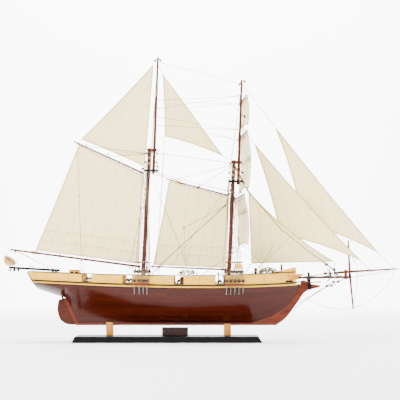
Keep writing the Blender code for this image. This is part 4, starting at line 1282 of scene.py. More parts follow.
# ---------------------------------------------------------------- guns
def make_guns():
    """A short carronade on its carriage behind each port, with its breeching."""
    barrels, carriages, trucks, breeching, sights = (Group() for _ in range(5))
    for x in GUN_PORTS:
        for side in (-1, 1):
            floor = deck_z(x)
            wall = side_flare(x, floor + 0.01)
            middle = Vector((x, side * (wall - 0.015), floor + 0.0105))
            out = Vector((0, side, 0.03)).normalized()
            profile = ((0, -0.0125), (0.0009, -0.012), (0.0012, -0.011), (0.001, -0.0102), (0.0033, -0.0092),
                       (0.0036, -0.0078), (0.0034, -0.0066), (0.0034, -0.001), (0.003, -0.0004),
                       (0.0029, 0.006),
                       (0.0026, 0.0068), (0.0025, 0.012), (0.003, 0.013), (0.003, 0.0142), (0.0019, 0.0146),
                       (0.0017, 0.0115), (0, 0.0112))
            barrels.lathe(profile, aimed(middle, out), 20)
            sights.rod(middle - Vector((0.0046, 0, 0)), middle + Vector((0.0046, 0, 0)), 0.0009, sides=12)
            for dx in (-0.0038, 0.0038):
                carriages.block((x + dx, middle.y - side * 0.0025, floor + 0.0058), (0.0015, 0.0165, 0.0066),
                                edge=0.0004)
                carriages.block((x + dx, middle.y - side * 0.007, floor + 0.0088), (0.0015, 0.007, 0.0022),
                                edge=0.0003)
                for dy in (-0.0078, 0.0035):
                    centre = Vector((x + dx * 1.32, middle.y + side * dy, floor + 0.0021))
                    trucks.rod(centre - Vector((0.0007, 0, 0)), centre + Vector((0.0007, 0, 0)), 0.002,
                               sides=16)
            carriages.block((x, middle.y - side * 0.0025, floor + 0.0036), (0.007, 0.015, 0.0016),
                            edge=0.0003)
            back = middle - out * 0.0105
            for dx in (-1, 1):
                ring = Vector((x + dx * 0.0098, side * (wall - BULWARK_THICK - 0.0008), floor + 0.007))
                loop = curve_points([back, back + Vector((dx * 0.0055, 0, -0.002)),
                                     Vector((x + dx * 0.0092, side * (wall - 0.011), floor + 0.0028)), ring],
                                     6)
                breeching.tube(loop, 0.00055, sides=6)
                sights.ball(ring, 0.001, segments=8)
    barrels.done("gun_barrels", "cannon", smooth_angle=35)
    carriages.done("gun_carriages", "stem", slot="stem_wood")
    trucks.done("gun_trucks", "block")
    breeching.done("gun_breeching", "dark_rope", slot="dark_rope")
    sights.done("gun_fittings", "steel")


# ---------------------------------------------------------------- deck and stern
def make_deck_fittings():
    refined("cabin", "box_flat", bevel=0.0006, smooth_angle=30)
    refined("hatch", "stem", bevel=0.0006, smooth_angle=30)
    refined("bow_bitts", "block", bevel=0.0005, smooth_angle=30)
    a, b = low("cabin"), high("cabin")
    roof, glass, trim = Group(), Group(), Group()
    roof.block(((a.x + b.x) / 2, 0, b.z + 0.0003), (b.x - a.x + 0.003, b.y - a.y + 0.003, 0.0014),
               edge=0.0005)
    middle_z = (a.z + b.z) / 2 + 0.004
    for side in (-1, 1):
        for x in (a.x + 0.0068, b.x - 0.0068):
            glass.block((x, side * b.y, middle_z), (0.0066, 0.0006, 0.009), edge=0.0001)
            trim.block((x, side * (b.y + 0.0002), middle_z + 0.005), (0.0082, 0.0006, 0.001), edge=0.0001)
            trim.block((x, side * (b.y + 0.0002), middle_z - 0.005), (0.0082, 0.0006, 0.001), edge=0.0001)
    for x, way in ((a.x, -1), (b.x, 1)):
        for y in (-0.0105, 0.0, 0.0105):
            glass.block((x, y, middle_z), (0.0006, 0.007, 0.009), edge=0.0001)
            trim.block((x + way * 0.0002, y, middle_z + 0.005), (0.0006, 0.0084, 0.001), edge=0.0001)
            trim.block((x + way * 0.0002, y, middle_z - 0.005), (0.0006, 0.0084, 0.001), edge=0.0001)
    roof.done("cabin_roof", "post", slot="post_wood")
    glass.done("cabin_panes", "black")
    trim.done("cabin_trim", "stem", slot="stem_wood")
    a, b = low("hatch"), high("hatch")
    # The grating's openings are flat black squares on the hatch top: painted shade for the dark space below
    # them.
    grating_hole_shade, rims = Group(), Group()
    for x in steps(a.x + 0.005, b.x - 0.005, 8):
        for y in steps(a.y + 0.0048, b.y - 0.0048, 6):
            grating_hole_shade.block((x, y, b.z + 0.0001), (0.002, 0.0021, 0.0003))
    for y in (a.y + 0.0012, b.y - 0.0012):
        rims.block(((a.x + b.x) / 2, y, b.z + 0.0005), (b.x - a.x, 0.002, 0.0016), edge=0.0003)
    for x in (a.x + 0.0012, b.x - 0.0012):
        rims.block((x, 0, b.z + 0.0005), (0.002, b.y - a.y, 0.0016), edge=0.0003)
    grating_hole_shade.done("hatch_grating_shade", "black")
    rims.done("hatch_coaming", "stem", slot="stem_wood")
    make_rope_coils()
    make_pin_rails()


def make_rope_coils():
    """Loose coils on the deck and the heap of line forward."""
    tan, pale = Group(), Group()
    for x, y, radius, turns in ((0.03, -0.025, 0.0085, 5), (0.048, -0.03, 0.0075, 6), (0.04, 0.026, 0.008, 5),
                                (-0.13, -0.03, 0.008, 5), (-0.13, 0.03, 0.008, 5),
                                (0.243, 0.018, 0.0085, 6), (0.105, 0.033, 0.0075, 5)):
        tan.coil((x, y, deck_z(x) + 0.001), radius, 0.0006, turns, (0, 0, 1))
    for start, end, y, low_z, count in ((0.217, 0.252, -0.005, 0.1632, 30),
                                        (0.029, 0.064, -0.022, 0.159, 20)):
        for k in range(count):
            share = k / (count - 1)
            heap = math.sin(math.pi * share) ** 0.6
            x = start + (end - start) * share
            height = low_z + 0.0085 * heap * (0.5 + 0.5 * math.sin(1.9 * k))
            tilt = (math.sin(2.7 * k), math.cos(1.3 * k), 0.55 + 0.45 * math.sin(4.1 * k))
            target = pale if k % 3 else tan
            target.coil((x, y + 0.0055 * math.sin(3.1 * k), height), 0.0048 + 0.0018 * math.sin(5.0 * k),
                        0.00052, 2.6,
                        tilt, stretch=(1.0, 0.72))
    crates = Group()
    crates.block((0.233, -0.004, deck_z(0.233) + 0.0085), (0.034, 0.02, 0.015), edge=0.0008)
    crates.block((0.045, -0.022, deck_z(0.045) + 0.0105), (0.03, 0.013, 0.0195), edge=0.0008)
    for y in (-0.008, 0.008):
        crates.block((0.2165, y, deck_z(0.2165) + 0.017), (0.0026, 0.0034, 0.033), edge=0.0005)
    crates.done("rope_lockers", "stem", slot="stem_wood")
    tan.done("deck_coils", "tan_rope")
    pale.done("heaped_line", "pale_rope")


def make_pin_rails():
    """Pin rails inside the bulwarks with belaying pins and hanging hanks of line."""
    rails, pins, hanks = Group(), Group(), Group()
    for start, end in ((-0.078, -0.03), (0.134, 0.18), (0.2, 0.225)):
        for side in (-1, 1):
            count = int((end - start) / 0.0095) + 1
            middle = (start + end) / 2
            z = rail_z(middle) - 0.005
            y = side * (side_flare(middle, z) - BULWARK_THICK - 0.0042)
            slope = math.atan2(side * (side_flare(end, z) - side_flare(start, z)), end - start)
            turn = Matrix.Translation((middle, y, z)) @ Matrix.Rotation(slope, 4, "Z")
            rails.block(None, (end - start, 0.0044, 0.0016), matrix=turn, edge=0.0004)
            for x in steps(start + 0.003, end - 0.003, count):
                foot = turn @ Vector((x - middle, 0, 0))
                pins.lathe(((0, -0.006), (0.0006, -0.0056), (0.0007, 0.0006), (0.0011, 0.0012),
                            (0.0008, 0.0022),
                            (0.0012, 0.0042), (0.0007, 0.0052), (0, 0.0053)), Matrix.Translation(foot), 10)
                hanks.coil(foot + Vector((0, -side * 0.0016, -0.0042)), 0.0024, 0.00038, 3,
                           (0.15, -side, 0.1),
                           stretch=(0.62, 1.35))
    rails.done("pin_rails", "stem", slot="stem_wood")
    pins.done("belaying_pins", "brass")
    hanks.done("hanked_lines", "tan_rope")


def make_stern():
    refined("davits", "black", bevel=0.0005, smooth_angle=30)
    refined("stern_boat", "box_flat", bevel=0.0, smooth_angle=60)
    sheaves, falls, knobs = Group(), Group(), Group()
    for side in (-1, 1):
        for x, z in ((-0.366, 0.17), (-0.356, 0.17)):
            centre = Vector((x + 0.003, side * 0.0345, z - 0.0022))
            sheaves.rod(centre - Vector((0, 0.0014, 0)), centre + Vector((0, 0.0014, 0)), 0.0029, sides=20)
            sheaves.rod(centre - Vector((0, 0.0019, 0)), centre + Vector((0, 0.0019, 0)), 0.0008, sides=10)
        knobs.ball((-0.317, side * 0.034, 0.1765), (0.0018, 0.0018, 0.0022), segments=12)
        ring = Vector((-0.364, side * 0.0345, 0.1895))
        for shift in (-0.0008, 0.0008):
            falls.tube([Vector((-0.361, side * 0.0345, 0.1705)) + Vector((shift, 0, 0)),
                        ring + Vector((shift, 0, 0))],
                       0.00035, sides=5)
        knobs.ball(ring, (0.0015, 0.0015, 0.0022), segments=10)
    sheaves.done("davit_sheaves", "block")
    falls.done("boat_falls", "tan_rope")
    knobs.done("davit_blocks", "block")
    make_boat_fittings()


BOAT_CENTRE, BOAT_HALF, BOAT_TILT = (-0.3663, 0.0, 0.1926), (0.0155, 0.054, 0.0155), math.radians(38)


def make_boat_fittings():
    """Gunwale, thwarts, keel and ribs of the boat that hangs across the stern."""
    turn = Matrix.Translation(BOAT_CENTRE) @ Matrix.Rotation(BOAT_TILT, 4, "Y")
    gunwale, thwarts, keel = Group(), Group(), Group()
    angles = ring_angles(48)
    half_x, half_y, half_z = BOAT_HALF
    rim = [turn @ Vector(((half_x - 0.0006) * math.cos(t), (half_y - 0.0006) * math.sin(t), 0.0002))
           for t in angles]
    gunwale.tube(rim, 0.0009, sides=8, closed=True)
    for share in (-0.55, -0.18, 0.18, 0.55):
        wide = half_x * math.sqrt(1 - share**2) - 0.0014
        thwarts.block(None, (2 * wide, 0.006, 0.0009), edge=0.0002,
                      matrix=turn @ Matrix.Translation((0, share * half_y, -0.003)))
    keel_line = [turn @ Vector((0, (half_y + 0.0002) * math.cos(t), -(half_z + 0.0002) * math.sin(t)))
                 for t in [math.pi * (0.06 + 0.88 * k / 24) for k in range(25)]]
    keel.tube(keel_line, 0.0008, sides=6)
    for share in (-0.72, -0.48, -0.24, 0.0, 0.24, 0.48, 0.72):
        size = math.sqrt(1 - share**2)
        rib = [turn @ Vector(((half_x - 0.0013) * size * math.cos(t), share * half_y,
                              -(half_z - 0.0013) * size * math.sin(t)))
               for t in [math.pi * k / 14 for k in range(15)]]
        thwarts.tube(rib, 0.0004, sides=5)
    gunwale.done("boat_gunwale", "stem", slot="stem_wood")
    thwarts.done("boat_thwarts", "mahogany", slot="mahogany")
    keel.done("boat_keel", "stem", slot="stem_wood")


# ---------------------------------------------------------------- bow
def make_bow():
    for word in ("starboard", "port"):
        refined("cathead_" + word, "post", bevel=0.0006)
    refined("anchor", "iron", bevel=0.0003)
    rails, tips, ties, hawse = Group(), Group(), Group(), Group()
    for side in (-1, 1):
        start = on_side(0.3, 0.1405, side, 0.0004)
        end = Vector((0.356, side * 0.0036, 0.14))
        middle = start.lerp(end, 0.45) + Vector((0, side * 0.002, -0.0008))
        line = curve_points([start, middle, end], 10)
        rails.tube(line, 0.0015, sides=10)
        tips.rod(end - Vector((0.001, 0, 0)), end + Vector((0.0035, -side * 0.0006, 0.0001)), 0.0019, 0.0013,
                 sides=14)
        side_band("hawse_boards_" + side_word(side), "bright", steps(0.284, 0.3062, 12),
                  lambda x: 0.144 + 0.12 * (x - 0.284), lambda x: 0.1454 + 0.6 * (x - 0.284), 0.0012, 0.0016,
                  0.0, side)
        # The hawse slot is a flat black block on the bow: painted shade for the dark opening.
        slot_point = on_side(0.2835, 0.1418, side, 0.0006)
        hawse.block(None, (0.019, 0.0018, 0.0042), edge=0.0004,
                    matrix=Matrix.Translation(slot_point) @ Matrix.Rotation(-side * 0.45, 4, "Z"))
    for x in (0.3276, 0.3312):
        top = spar_point("bowsprit", x) + Vector((0, 0, 0.0036))
        bottom = Vector((x + 0.0035, 0, 0.124))
        for k in range(4):
            shift = 0.0012 * (k - 1.5)
            loop = [top + Vector((shift, 0, 0)), Vector((x + 0.0012 + shift, -0.0042, 0.147)),
                    bottom + Vector((shift, -0.0032, 0)),
                    bottom + Vector((shift, 0, -0.0016)), bottom + Vector((shift, 0.0032, 0)),
                    Vector((x + 0.0012 + shift, 0.0042, 0.147))]
            ties.tube(loop, 0.0007, sides=6, closed=True)
    rails.done("head_rails", "stem", slot="stem_wood")
    tips.done("head_rail_tips", "black")
    ties.done("gammoning", "black")
    knees = Group()
    knees.block(None, (0.005, 0.015, 0.023), edge=0.0008,
                matrix=Matrix.Translation((0.3315, 0, 0.152)) @ Matrix.Rotation(-0.12, 4, "Y"))
    knees.done("bowsprit_knighthead", "black", slot="black_paint")
    hawse.done("hawse_slot_shade", "black")
    make_bell()


def make_bell():
    """The small belfry at the bow and the board lashed in the fore rigging."""
    posts, bell = Group(), Group()
    x = 0.267
    floor = deck_z(x)
    for y in (-0.0075, 0.0075):
        posts.block((x, y, (floor + 0.179) / 2), (0.0034, 0.003, 0.179 - floor), edge=0.0005)
    posts.block((x, 0, 0.18), (0.0066, 0.021, 0.0024), edge=0.0006)
    bell.lathe(((0, 0.006), (0.0018, 0.0058), (0.0026, 0.004), (0.003, 0.0014), (0.0042, 0.0), (0.0038, 0.0),
                (0.0024, 0.0016), (0, 0.002)), Matrix.Translation((x, 0, 0.1708)), 20)
    post_x = 0.1195
    posts.block((post_x, -0.043, deck_z(post_x) + 0.013), (0.0028, 0.0028, 0.026), edge=0.0005)
    bell.ball((post_x, -0.043, deck_z(post_x) + 0.028), 0.0026, segments=14)
    y = -(half_breadth(0.164) + 0.006)
    outline = ((0.153, 0.1706), (0.1755, 0.17), (0.1725, 0.1822), (0.157, 0.1822))
    rows = [[Vector((px, y - 0.0006, z)) for px, z in outline],
            [Vector((px, y + 0.0006, z)) for px, z in outline]]
    skin("fore_board", rows, "box", closed=True, smooth_angle=30)
    posts.done("belfry", "block")
    bell.done("bell", "brass")


# ---------------------------------------------------------------- blocks and standing rigging
class Rigging:
    """Ropes and blocks of one body, gathered by finish and made into one piece each at the end."""

    def __init__(self, body, label):
        self.body, self.label, self.groups = body, label, {}

    def group(self, look):
        if look not in self.groups:
            self.groups[look] = Group()
        return self.groups[look]

    def rope(self, points, look="tan_rope", radius=ROPE, sag=None):
        line = sagging(points[0], points[1], sag, 12) if sag is not None else points
        self.group(look).tube(line, radius * ROPE_SCALE, sides=6)

    def block(self, centre, way, size=0.0029, look="block"):
        """A wooden block with its strop."""
        self.group(look).ball(Vector(centre), (size * 0.62, size * 0.78, size), way, segments=12)
        loop_matrix = aimed(Vector(centre), way, "X")
        loop = [loop_matrix @ Vector((0, size * 0.84 * math.sin(t), size * 1.08 * math.cos(t)))
                for t in ring_angles(16)]
        self.group("dark_rope").tube(loop, 0.0003, sides=5, closed=True)

    def heart(self, centre, way, size=0.003):
        """A heart: a pear-shaped block with one hole, for setting up a stay."""
        matrix = aimed(Vector(centre), way, "Y")
        ring = [matrix @ Vector((0, size * 0.6 * math.sin(t) * (1 - 0.18 * math.cos(t)),
                                 size * 0.8 * math.cos(t)))
                for t in ring_angles(20)]
        self.group("block").tube(ring, size * 0.48, sides=8, closed=True)

    def set_up(self, first, second, strands=5):
        """Two hearts joined by turns of lanyard."""
        first, second = Vector(first), Vector(second)
        way = second - first
        self.heart(first, way)
        self.heart(second, way)
        for k in range(strands):
            t = 2 * math.pi * k / strands
            shift = Vector((0, 0.0013 * math.cos(t), 0.0006 * math.sin(t)))
            self.rope([first + way * 0.06 + shift, second - way * 0.06 + shift], "pale_rope", 0.00034)

    def done(self):
        for look, group in self.groups.items():
            group.done(self.label + "_" + look, look, self.body)


def crossing_rope(name, points, look="tan_rope", radius=ROPE, sag=None):
    """A rope from one body to another, made as a free piece attached to neither body."""
    line = sagging(points[0], points[1], sag, 14) if sag is not None else [Vector(p) for p in points]
    if len(line) == 2:
        line = sagging(line[0], line[1], 0.0, 10)
    group = Group()
    group.tube(line, radius * ROPE_SCALE, sides=6)
    rope = group.done(name, look, None)
    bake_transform(rope)
    return rope


def make_standing(ship):
    """Stays, backstays and bobstays, all fixed to the hull and spars."""
    for side in (-1, 1):
        shift = 0.0012 * side
        stay = [(0.156, shift, 0.416), (0.1905, shift * 2, 0.351), (0.2249, shift * 3, 0.3101),
                (0.2642, shift * 3, 0.2647), (0.3346, shift * 3, 0.2079), (0.37, shift * 3, 0.1835)]
        ship.rope([Vector(p) + Vector((0, -0.0075, 0)) if side < 0 else Vector(p) + Vector((0, 0.021, 0))
                   for p in stay], "tan_rope", 0.00075)
    for side in (-1, 1):
        y = -0.01 if side < 0 else 0.024
        ship.set_up((0.3725, y, 0.1811), (0.3901, y * 0.5, 0.1692))
        ship.rope([(0.3901, y * 0.5, 0.1692), (0.3985, y * 0.2, 0.154)], "dark_rope", 0.0008)
    fore_head, fore_cap = on_spar("fore_topmast", z=0.604), on_spar("fore_lower_mast", z=0.42)
    main_head = on_spar("main_topmast", z=0.648)
    ship.rope([fore_head, (0.252, 0, 0.505)], "tan_rope", 0.0005)
    ship.rope([(0.494, 0, 0.208), (0.5251, 0, 0.1778), (0.5305, 0, 0.1712)], "tan_rope", 0.0005)
    ship.rope([on_spar("fore_topmast", z=0.508), (0.203, 0, 0.466)], "tan_rope", 0.0005)
    ship.rope([(0.453, 0, 0.189), (0.4732, 0, 0.1708)], "tan_rope", 0.0005)
    ship.rope([(0.156, 0, 0.398), (0.19, 0, 0.353)], "tan_rope", 0.0006)
    ship.rope([(0.39, 0, 0.1875), (0.3925, 0, 0.164)], "tan_rope", 0.0006)
    ship.rope([main_head, (-0.011, 0, 0.628)], "tan_rope", 0.0005)
    ship.rope([(0.13, 0, 0.4345), fore_cap + Vector((-0.002, 0, 0.002))], "tan_rope", 0.0005)
    for x in (0.3925, 0.4732, 0.5305):
        node = "bowsprit" if x < 0.4 else "jib_boom"
        lashing(ship.group("pale_rope"), spar_point(node, x), spar_way(node, x),
                0.0028 if x < 0.48 else 0.0013, 5)
    for start_z, end_x in ((0.0784, 0.3735), (0.09, 0.3891)):
        end_z = 0.1308 if end_x < 0.38 else 0.1402
        start = Vector((0.2975 if start_z < 0.08 else 0.306, 0, start_z))
        far = Vector((end_x + 0.0107, 0, end_z + 0.0008))
        ship.rope([start, (end_x, 0, end_z)], "dark_rope", 0.0007)
        ship.set_up((end_x, 0, end_z), far)
        ship.rope([far, (0.4165, 0, 0.149)], "dark_rope", 0.0007)
    for side in (-1, 1):
        head = Vector((0.4165, side * 0.003, 0.152))
        heart = Vector((0.3702, side * 0.013, 0.1601))
        foot = on_side(0.296, 0.1458, side, 0.0008)
        ship.rope([head, heart + Vector((0.01, -side * 0.0022, 0))], "dark_rope", 0.0006)
        ship.set_up(heart + Vector((0.01, -side * 0.0022, 0)), heart)
        ship.rope([heart, foot], "dark_rope", 0.0006)
    make_backstays(ship)


def make_backstays(ship):
    for side in (-1, 1):
        for head, x, foot_z in (
            (on_spar("fore_topmast", z=0.6025), 0.129, 0.15),
            (on_spar("main_topmast", z=0.656), -0.085, 0.154),
        ):
            foot = Vector((x, side * (side_flare(x, foot_z) + 0.0006), foot_z))
            tree_z = 0.377 if head.x > 0.1 else 0.402
            tree = Vector((head.x - 0.03 if head.x > 0.1 else head.x - 0.018, side * 0.0275, tree_z))
            ship.rope([head, tree, foot + Vector((0, 0, 0.02))], "grey_rope", 0.0004)
            ship.block(foot + Vector((0, 0, 0.02)), tree - foot, 0.0022)
            ship.rope([foot + Vector((0, 0, 0.018)), foot], "pale_rope", 0.0004)
        foot_x = -0.0405
        foot = Vector((foot_x, side * (side_flare(foot_x, 0.156) - BULWARK_THICK), rail_z(foot_x) + 0.0006))
        head = Vector((0.135, side * 0.024, 0.3175))
        ship.rope([on_spar("fore_lower_mast", z=0.37) + Vector((0, side * 0.006, 0)), head], "tan_rope",
                  0.0007)
        ship.block(head, foot - head, 0.003)
        low_block = head.lerp(foot, 0.88)
        ship.rope([head, low_block], "tan_rope", 0.0008)
        ship.block(low_block, head - foot, 0.0026)
        ship.rope([low_block + Vector((0.0006, 0, 0)), foot + Vector((0.018, 0, -0.0008))], "tan_rope",
                  0.0004)
        ship.rope([low_block, foot], "tan_rope", 0.0005)
    ship.rope([on_spar("main_topmast", z=0.656), on_spar("fore_topmast", z=0.603)], "grey_rope", 0.0004)
    ship.rope([on_spar("main_lower_mast", z=0.444), on_spar("fore_lower_mast", z=0.418)], "tan_rope", 0.0005)


def make_masthead_blocks(ship):
    """Blocks hung about each masthead, as small dark knobs on short strops."""
    spots = (
        ("main_topmast", -0.0475, 0.4413), ("main_lower_mast", -0.0508, 0.4205),
        ("main_topmast", -0.024, 0.4404),
        ("main_topmast", -0.0245, 0.4184), ("main_topmast", -0.0225, 0.41), ("fore_topmast", 0.1816, 0.6093),
        ("fore_topmast", 0.169, 0.6025), ("fore_lower_mast", 0.1476, 0.4165),
        ("fore_topmast", 0.1735, 0.4189),
        ("fore_lower_mast", 0.1446, 0.3959), ("fore_topmast", 0.1765, 0.3959),
        ("fore_topmast", 0.1725, 0.3503),
        ("main_lower_mast", -0.0575, 0.406), ("fore_topmast", 0.181, 0.5277),
        ("main_topmast", -0.029, 0.6575), ("main_topmast", -0.0165, 0.659),
    )
    for node, x, z in spots:
        for side in (-1, 1):
            core = on_spar(node, z=max(z, 0.37) if node.startswith("fore_top") else z)
            point = Vector((x, side * 0.0062, z))
            ship.block(point, Vector((x - core.x, 0, -0.01)), 0.0027)
            ship.rope([core + Vector((0, 0, 0.004)), point], "pale_rope", 0.0004)


def rail_point(x, side, z, inset, lift):
    """A point by the top rail, set in from the planking at height z and lifted off the rail."""
    return Vector((x, side * (side_flare(x, z) - inset), rail_z(x) + lift))


def make_head_sail_lines(ship):
    """Halyards and sheets of the sails forward, and the crew lines down the masts."""
    for clew, foot_x in (
        ((0.198, 0.016, 0.184), 0.1795), ((0.266, 0.024, 0.252), 0.206), ((0.32, 0.026, 0.278), 0.196),
    ):
        block = Vector(clew) + Vector((-0.0035, 0, -0.002))
        ship.block(block, (-1, 0, -0.4), 0.0022)
        for side in (-1, 1):
            ship.rope([block, rail_point(foot_x, side, 0.156, 0.005, 0.0002)], "pale_rope", 0.0004,
                      sag=0.0015)
    for foot_y in (0.055, -0.056):
        ship.rope([(-0.006, 0.006, 0.482), (-0.025, foot_y, 0.168)], "pale_rope", 0.0004)
    for z, x in ((0.528, 0.1795), (0.418, 0.179)):
        top = Vector((x, -0.003, z))
        ship.rope([top, (0.17, -0.0075, 0.395), (0.164, -0.0085, 0.17)], "pale_rope", 0.00035)
        ship.rope([top + Vector((0, 0.006, 0)), (0.17, 0.0075, 0.395), (0.164, 0.0085, 0.17)], "pale_rope",
                  0.00035)
    for x, z in ((-0.05, 0.418), (-0.047, 0.44)):
        for side in (-1, 1):
            ship.rope([(x, side * 0.0062, z), (x + 0.006, side * 0.008, 0.2),
                       (x + 0.002, side * 0.009, 0.15)],
                      "pale_rope", 0.00038)


def make_running():
    """Halyards, topping lifts and sheets, each led from the hull to its spar."""
    main_end, main_body, fore_body = spar_point("main_boom", -0.3554), "main_boom_body", "fore_boom_body"
    blocks = Rigging(main_body, "main_tackle")
    blocks.block(main_end + Vector((0, 0, -0.0042)), (0, 0, 1), 0.003)
    blocks.block((-0.1376, -0.003, 0.439), (0.3, 0, 1), 0.0026)
    blocks.block((-0.19, -0.0026, 0.4615), (0.3, 0, 1), 0.0024)
    blocks.block((-0.2052, -0.0125, 0.3405), (0, 0, 1), 0.0024)
    blocks.rope([(-0.2052, -0.0125, 0.3385), (-0.201, -0.004, 0.196)], "pale_rope", 0.0005)
    blocks.rope([(-0.2052, -0.0125, 0.3425), (-0.21, -0.006, 0.456)], "pale_rope", 0.0004)
    blocks.block((-0.201, 0, 0.1905), (0, 0, 1), 0.0028)
    blocks.done()
    for side in (-1, 1):
        start = rail_point(-0.2558, side, 0.16, 0.003, 0.0004)
        crossing_rope("main_guy_" + side_word(side), [start, main_end], radius=0.0004)
    sheet_foot = Vector((-0.1938, 0, deck_z(-0.1938) + 0.004))
    for shift in (-0.0012, 0.0012):
        crossing_rope("main_sheet_" + ("a", "b")[shift > 0],
                      [sheet_foot + Vector((2.4 * shift, shift, 0)),
                       Vector((-0.201 + 2.4 * shift, shift, 0.1885))],
                      "pale_rope", radius=0.0006)
    head = on_spar("main_lower_mast", z=0.44)
    for k, x in enumerate((-0.1376, -0.19)):
        crossing_rope("main_peak_halyard_%d" % k, [head, spar_point("main_gaff", x) + Vector((0, 0, 0.002))],
                      radius=0.0005)
    crossing_rope("main_throat_halyard", [on_spar("main_lower_mast", z=0.415) + Vector((-0.004, 0, 0)),
                                          spar_point("main_gaff", -0.06) + Vector((0, 0, 0.002))])
    for side in (-1, 1):
        crossing_rope("fore_topping_lift_" + side_word(side),
                      [on_spar("fore_lower_mast", z=0.383) + Vector((0, side * 0.006, 0)),
                       spar_point("fore_boom", 0.01) + Vector((0, side * 0.012, 0.002))],
                      "pale_rope", radius=0.0004)
    fore = Rigging(fore_body, "fore_tackle")
    for point in ((0.0391, -0.0105, 0.2665), (0.1306, -0.0035, 0.3152), (0.0742, -0.003, 0.364)):
        fore.block(point, (0.4, 0, 1), 0.0024)
    fore.block(spar_point("fore_boom", -0.033) - Vector((0, 0, 0.004)), (0, 0, 1), 0.0026)
    fore.rope([(0.1306, -0.0042, 0.3152), (0.0391, -0.0118, 0.2665)], "dark_rope", 0.00038)
    fore.rope([(0.0391, -0.0118, 0.2665), (0.0438, -0.006, 0.174)], "pale_rope", 0.00038)
    fore.done()
    head = on_spar("fore_lower_mast", z=0.414)
    for k, x in enumerate((0.0133, 0.0742)):
        crossing_rope("fore_peak_halyard_%d" % k, [head, spar_point("fore_gaff", x) + Vector((0, 0, 0.0018))],
                      radius=0.0005)
    crossing_rope("fore_throat_halyard", [on_spar("fore_lower_mast", z=0.39) + Vector((-0.004, 0, 0)),
                                          spar_point("fore_gaff", 0.138) + Vector((0, 0, 0.002))])
    crossing_rope("fore_sheet", [Vector((-0.033, 0, deck_z(-0.033) + 0.001)),
                                 spar_point("fore_boom", -0.033) - Vector((0, 0, 0.006))],
                                 "pale_rope")
    crossing_rope("gaff_vang", [Vector((-0.0288, -0.005, 0.3721)), Vector((0.0438, -0.006, 0.1842))],
                  "dark_rope", radius=0.00038)


# ---------------------------------------------------------------- square rig lines and the spritsail yard
def yard_arms(word):
    """The starboard and port ends of a square yard, just inside its tips, and its centre."""
    centre, across, length = square_frame(word + "_yard")
    return centre - across * (length / 2 - 0.004), centre + across * (length / 2 - 0.004), centre


BRACES = (
    ("course", "course_body", "main_lower_mast", 0.402),
    ("topsail", "topsail_body", "main_topmast", 0.5281),
    ("topgallant", "topgallant_body", "main_topmast", 0.5658),
)
LIFTS = {"course": ("fore_lower_mast", 0.416), "topsail": ("fore_topmast", 0.509),
         "topgallant": ("fore_topmast", 0.599)}


def make_braces():
    """Braces, lifts and the parrel of each square yard."""
    for word, body, mast, z in BRACES:
        starboard, port, centre = yard_arms(word)
        fixed = on_spar(mast, z=z)
        rig = Rigging(body, word + "_yard_gear")
        for label, arm, side in (("starboard", starboard, -1), ("port", port, 1)):
            block_at = arm.lerp(fixed, 0.1)
            rig.rope([arm, block_at], "tan_rope", 0.0004)
            rig.block(block_at, fixed - arm, 0.0023)
            lashing(rig.group("pale_rope"), arm, port - starboard, 0.0015, 4, 0.00035)
            for k, dz in enumerate((0.0, -0.02 if word != "course" else -0.006)):
                crossing_rope("%s_brace_%s_%d" % (word, label, k),
                              [fixed + Vector((0, side * 0.001, dz)), block_at],
                              "tan_rope", 0.00034, sag=0.0015)
            lift_mast, lift_z = LIFTS[word]
            crossing_rope("%s_lift_%s" % (word, label), [on_spar(lift_mast, z=lift_z), arm], "tan_rope",
                          0.00034)
        core = on_spar("fore_lower_mast" if word == "course" else "fore_topmast", z=centre.z)
        middle = (core + centre) / 2
        half = (centre - core).length / 2 + 0.0036
        parrel = [middle + Vector((half * math.cos(t), 0.0038 * math.sin(t), 0.0006 * math.sin(2 * t)))
                  for t in ring_angles(20)]
        rig.group("dark_rope").tube(parrel, 0.0007, sides=6, closed=True)
        rig.done()


def make_sail_ties(sails):
    """Robands along each yard, reef points, and the clew blocks."""
    for word, _, body, radius, *_ in SQUARES:
        sail = sails[word]
        centre, across, _ = square_frame(word + "_yard")
        rig = Rigging(body, word + "_ties")
        for share in steps(0.02, 0.98, 13):
            edge = sail.at(share, 1)
            offset = (edge - centre).dot(across)
            point = centre + across * offset
            forward = Vector((across.y, -across.x, 0))
            half_z = (point.z - edge.z + radius + 0.0016) / 2
            middle = Vector((point.x, point.y, point.z + radius + 0.0004 - half_z))
            loop = [middle + Vector((0, 0, half_z * math.cos(t))) + forward * (radius + 0.0008) * math.sin(t)
                    for t in ring_angles(14)]
            rig.group("pale_rope").tube(loop, 0.0004, sides=5, closed=True)
        reef = {"course": 0.086, "topsail": 0.075, "topgallant": None}[word]
        if reef:
            height = (sail.throat - sail.tack).length
            for share in steps(0.06, 0.94, 12):
                point = sail.at(share, reef / height)
                for sign in (1, -1):
                    top = point + sail.normal * 0.0007 * sign
                    rig.rope([top, top + sail.normal * 0.001 * sign - Vector((0, 0, 0.006)),
                              top + sail.normal * 0.0006 * sign - Vector((0, 0, 0.013))], "pale_rope", 0.0003)
        for corner in (sail.tack, sail.clew):
            rig.block(corner - Vector((0.0008, 0, 0.0008)), (0, 0, 1), 0.0022)
        lower = {"topgallant": "topsail", "topsail": "course"}.get(word)
        if lower:
            arms = yard_arms(lower)
            for corner, arm in ((sail.tack, arms[0]), (sail.clew, arms[1])):
                rig.rope([corner, arm], "tan_rope", 0.00036)
        rig.done()
    course = sails["course"]
    for label, corner, side in (("starboard", course.tack, -1), ("port", course.clew, 1)):
        for name, x in (("sheet", 0.08), ("tack", 0.238)):
            foot = rail_point(x, side, 0.157, 0.002, 0.0004)
            crossing_rope("course_%s_%s" % (name, label), [foot, corner], "tan_rope", 0.0004)


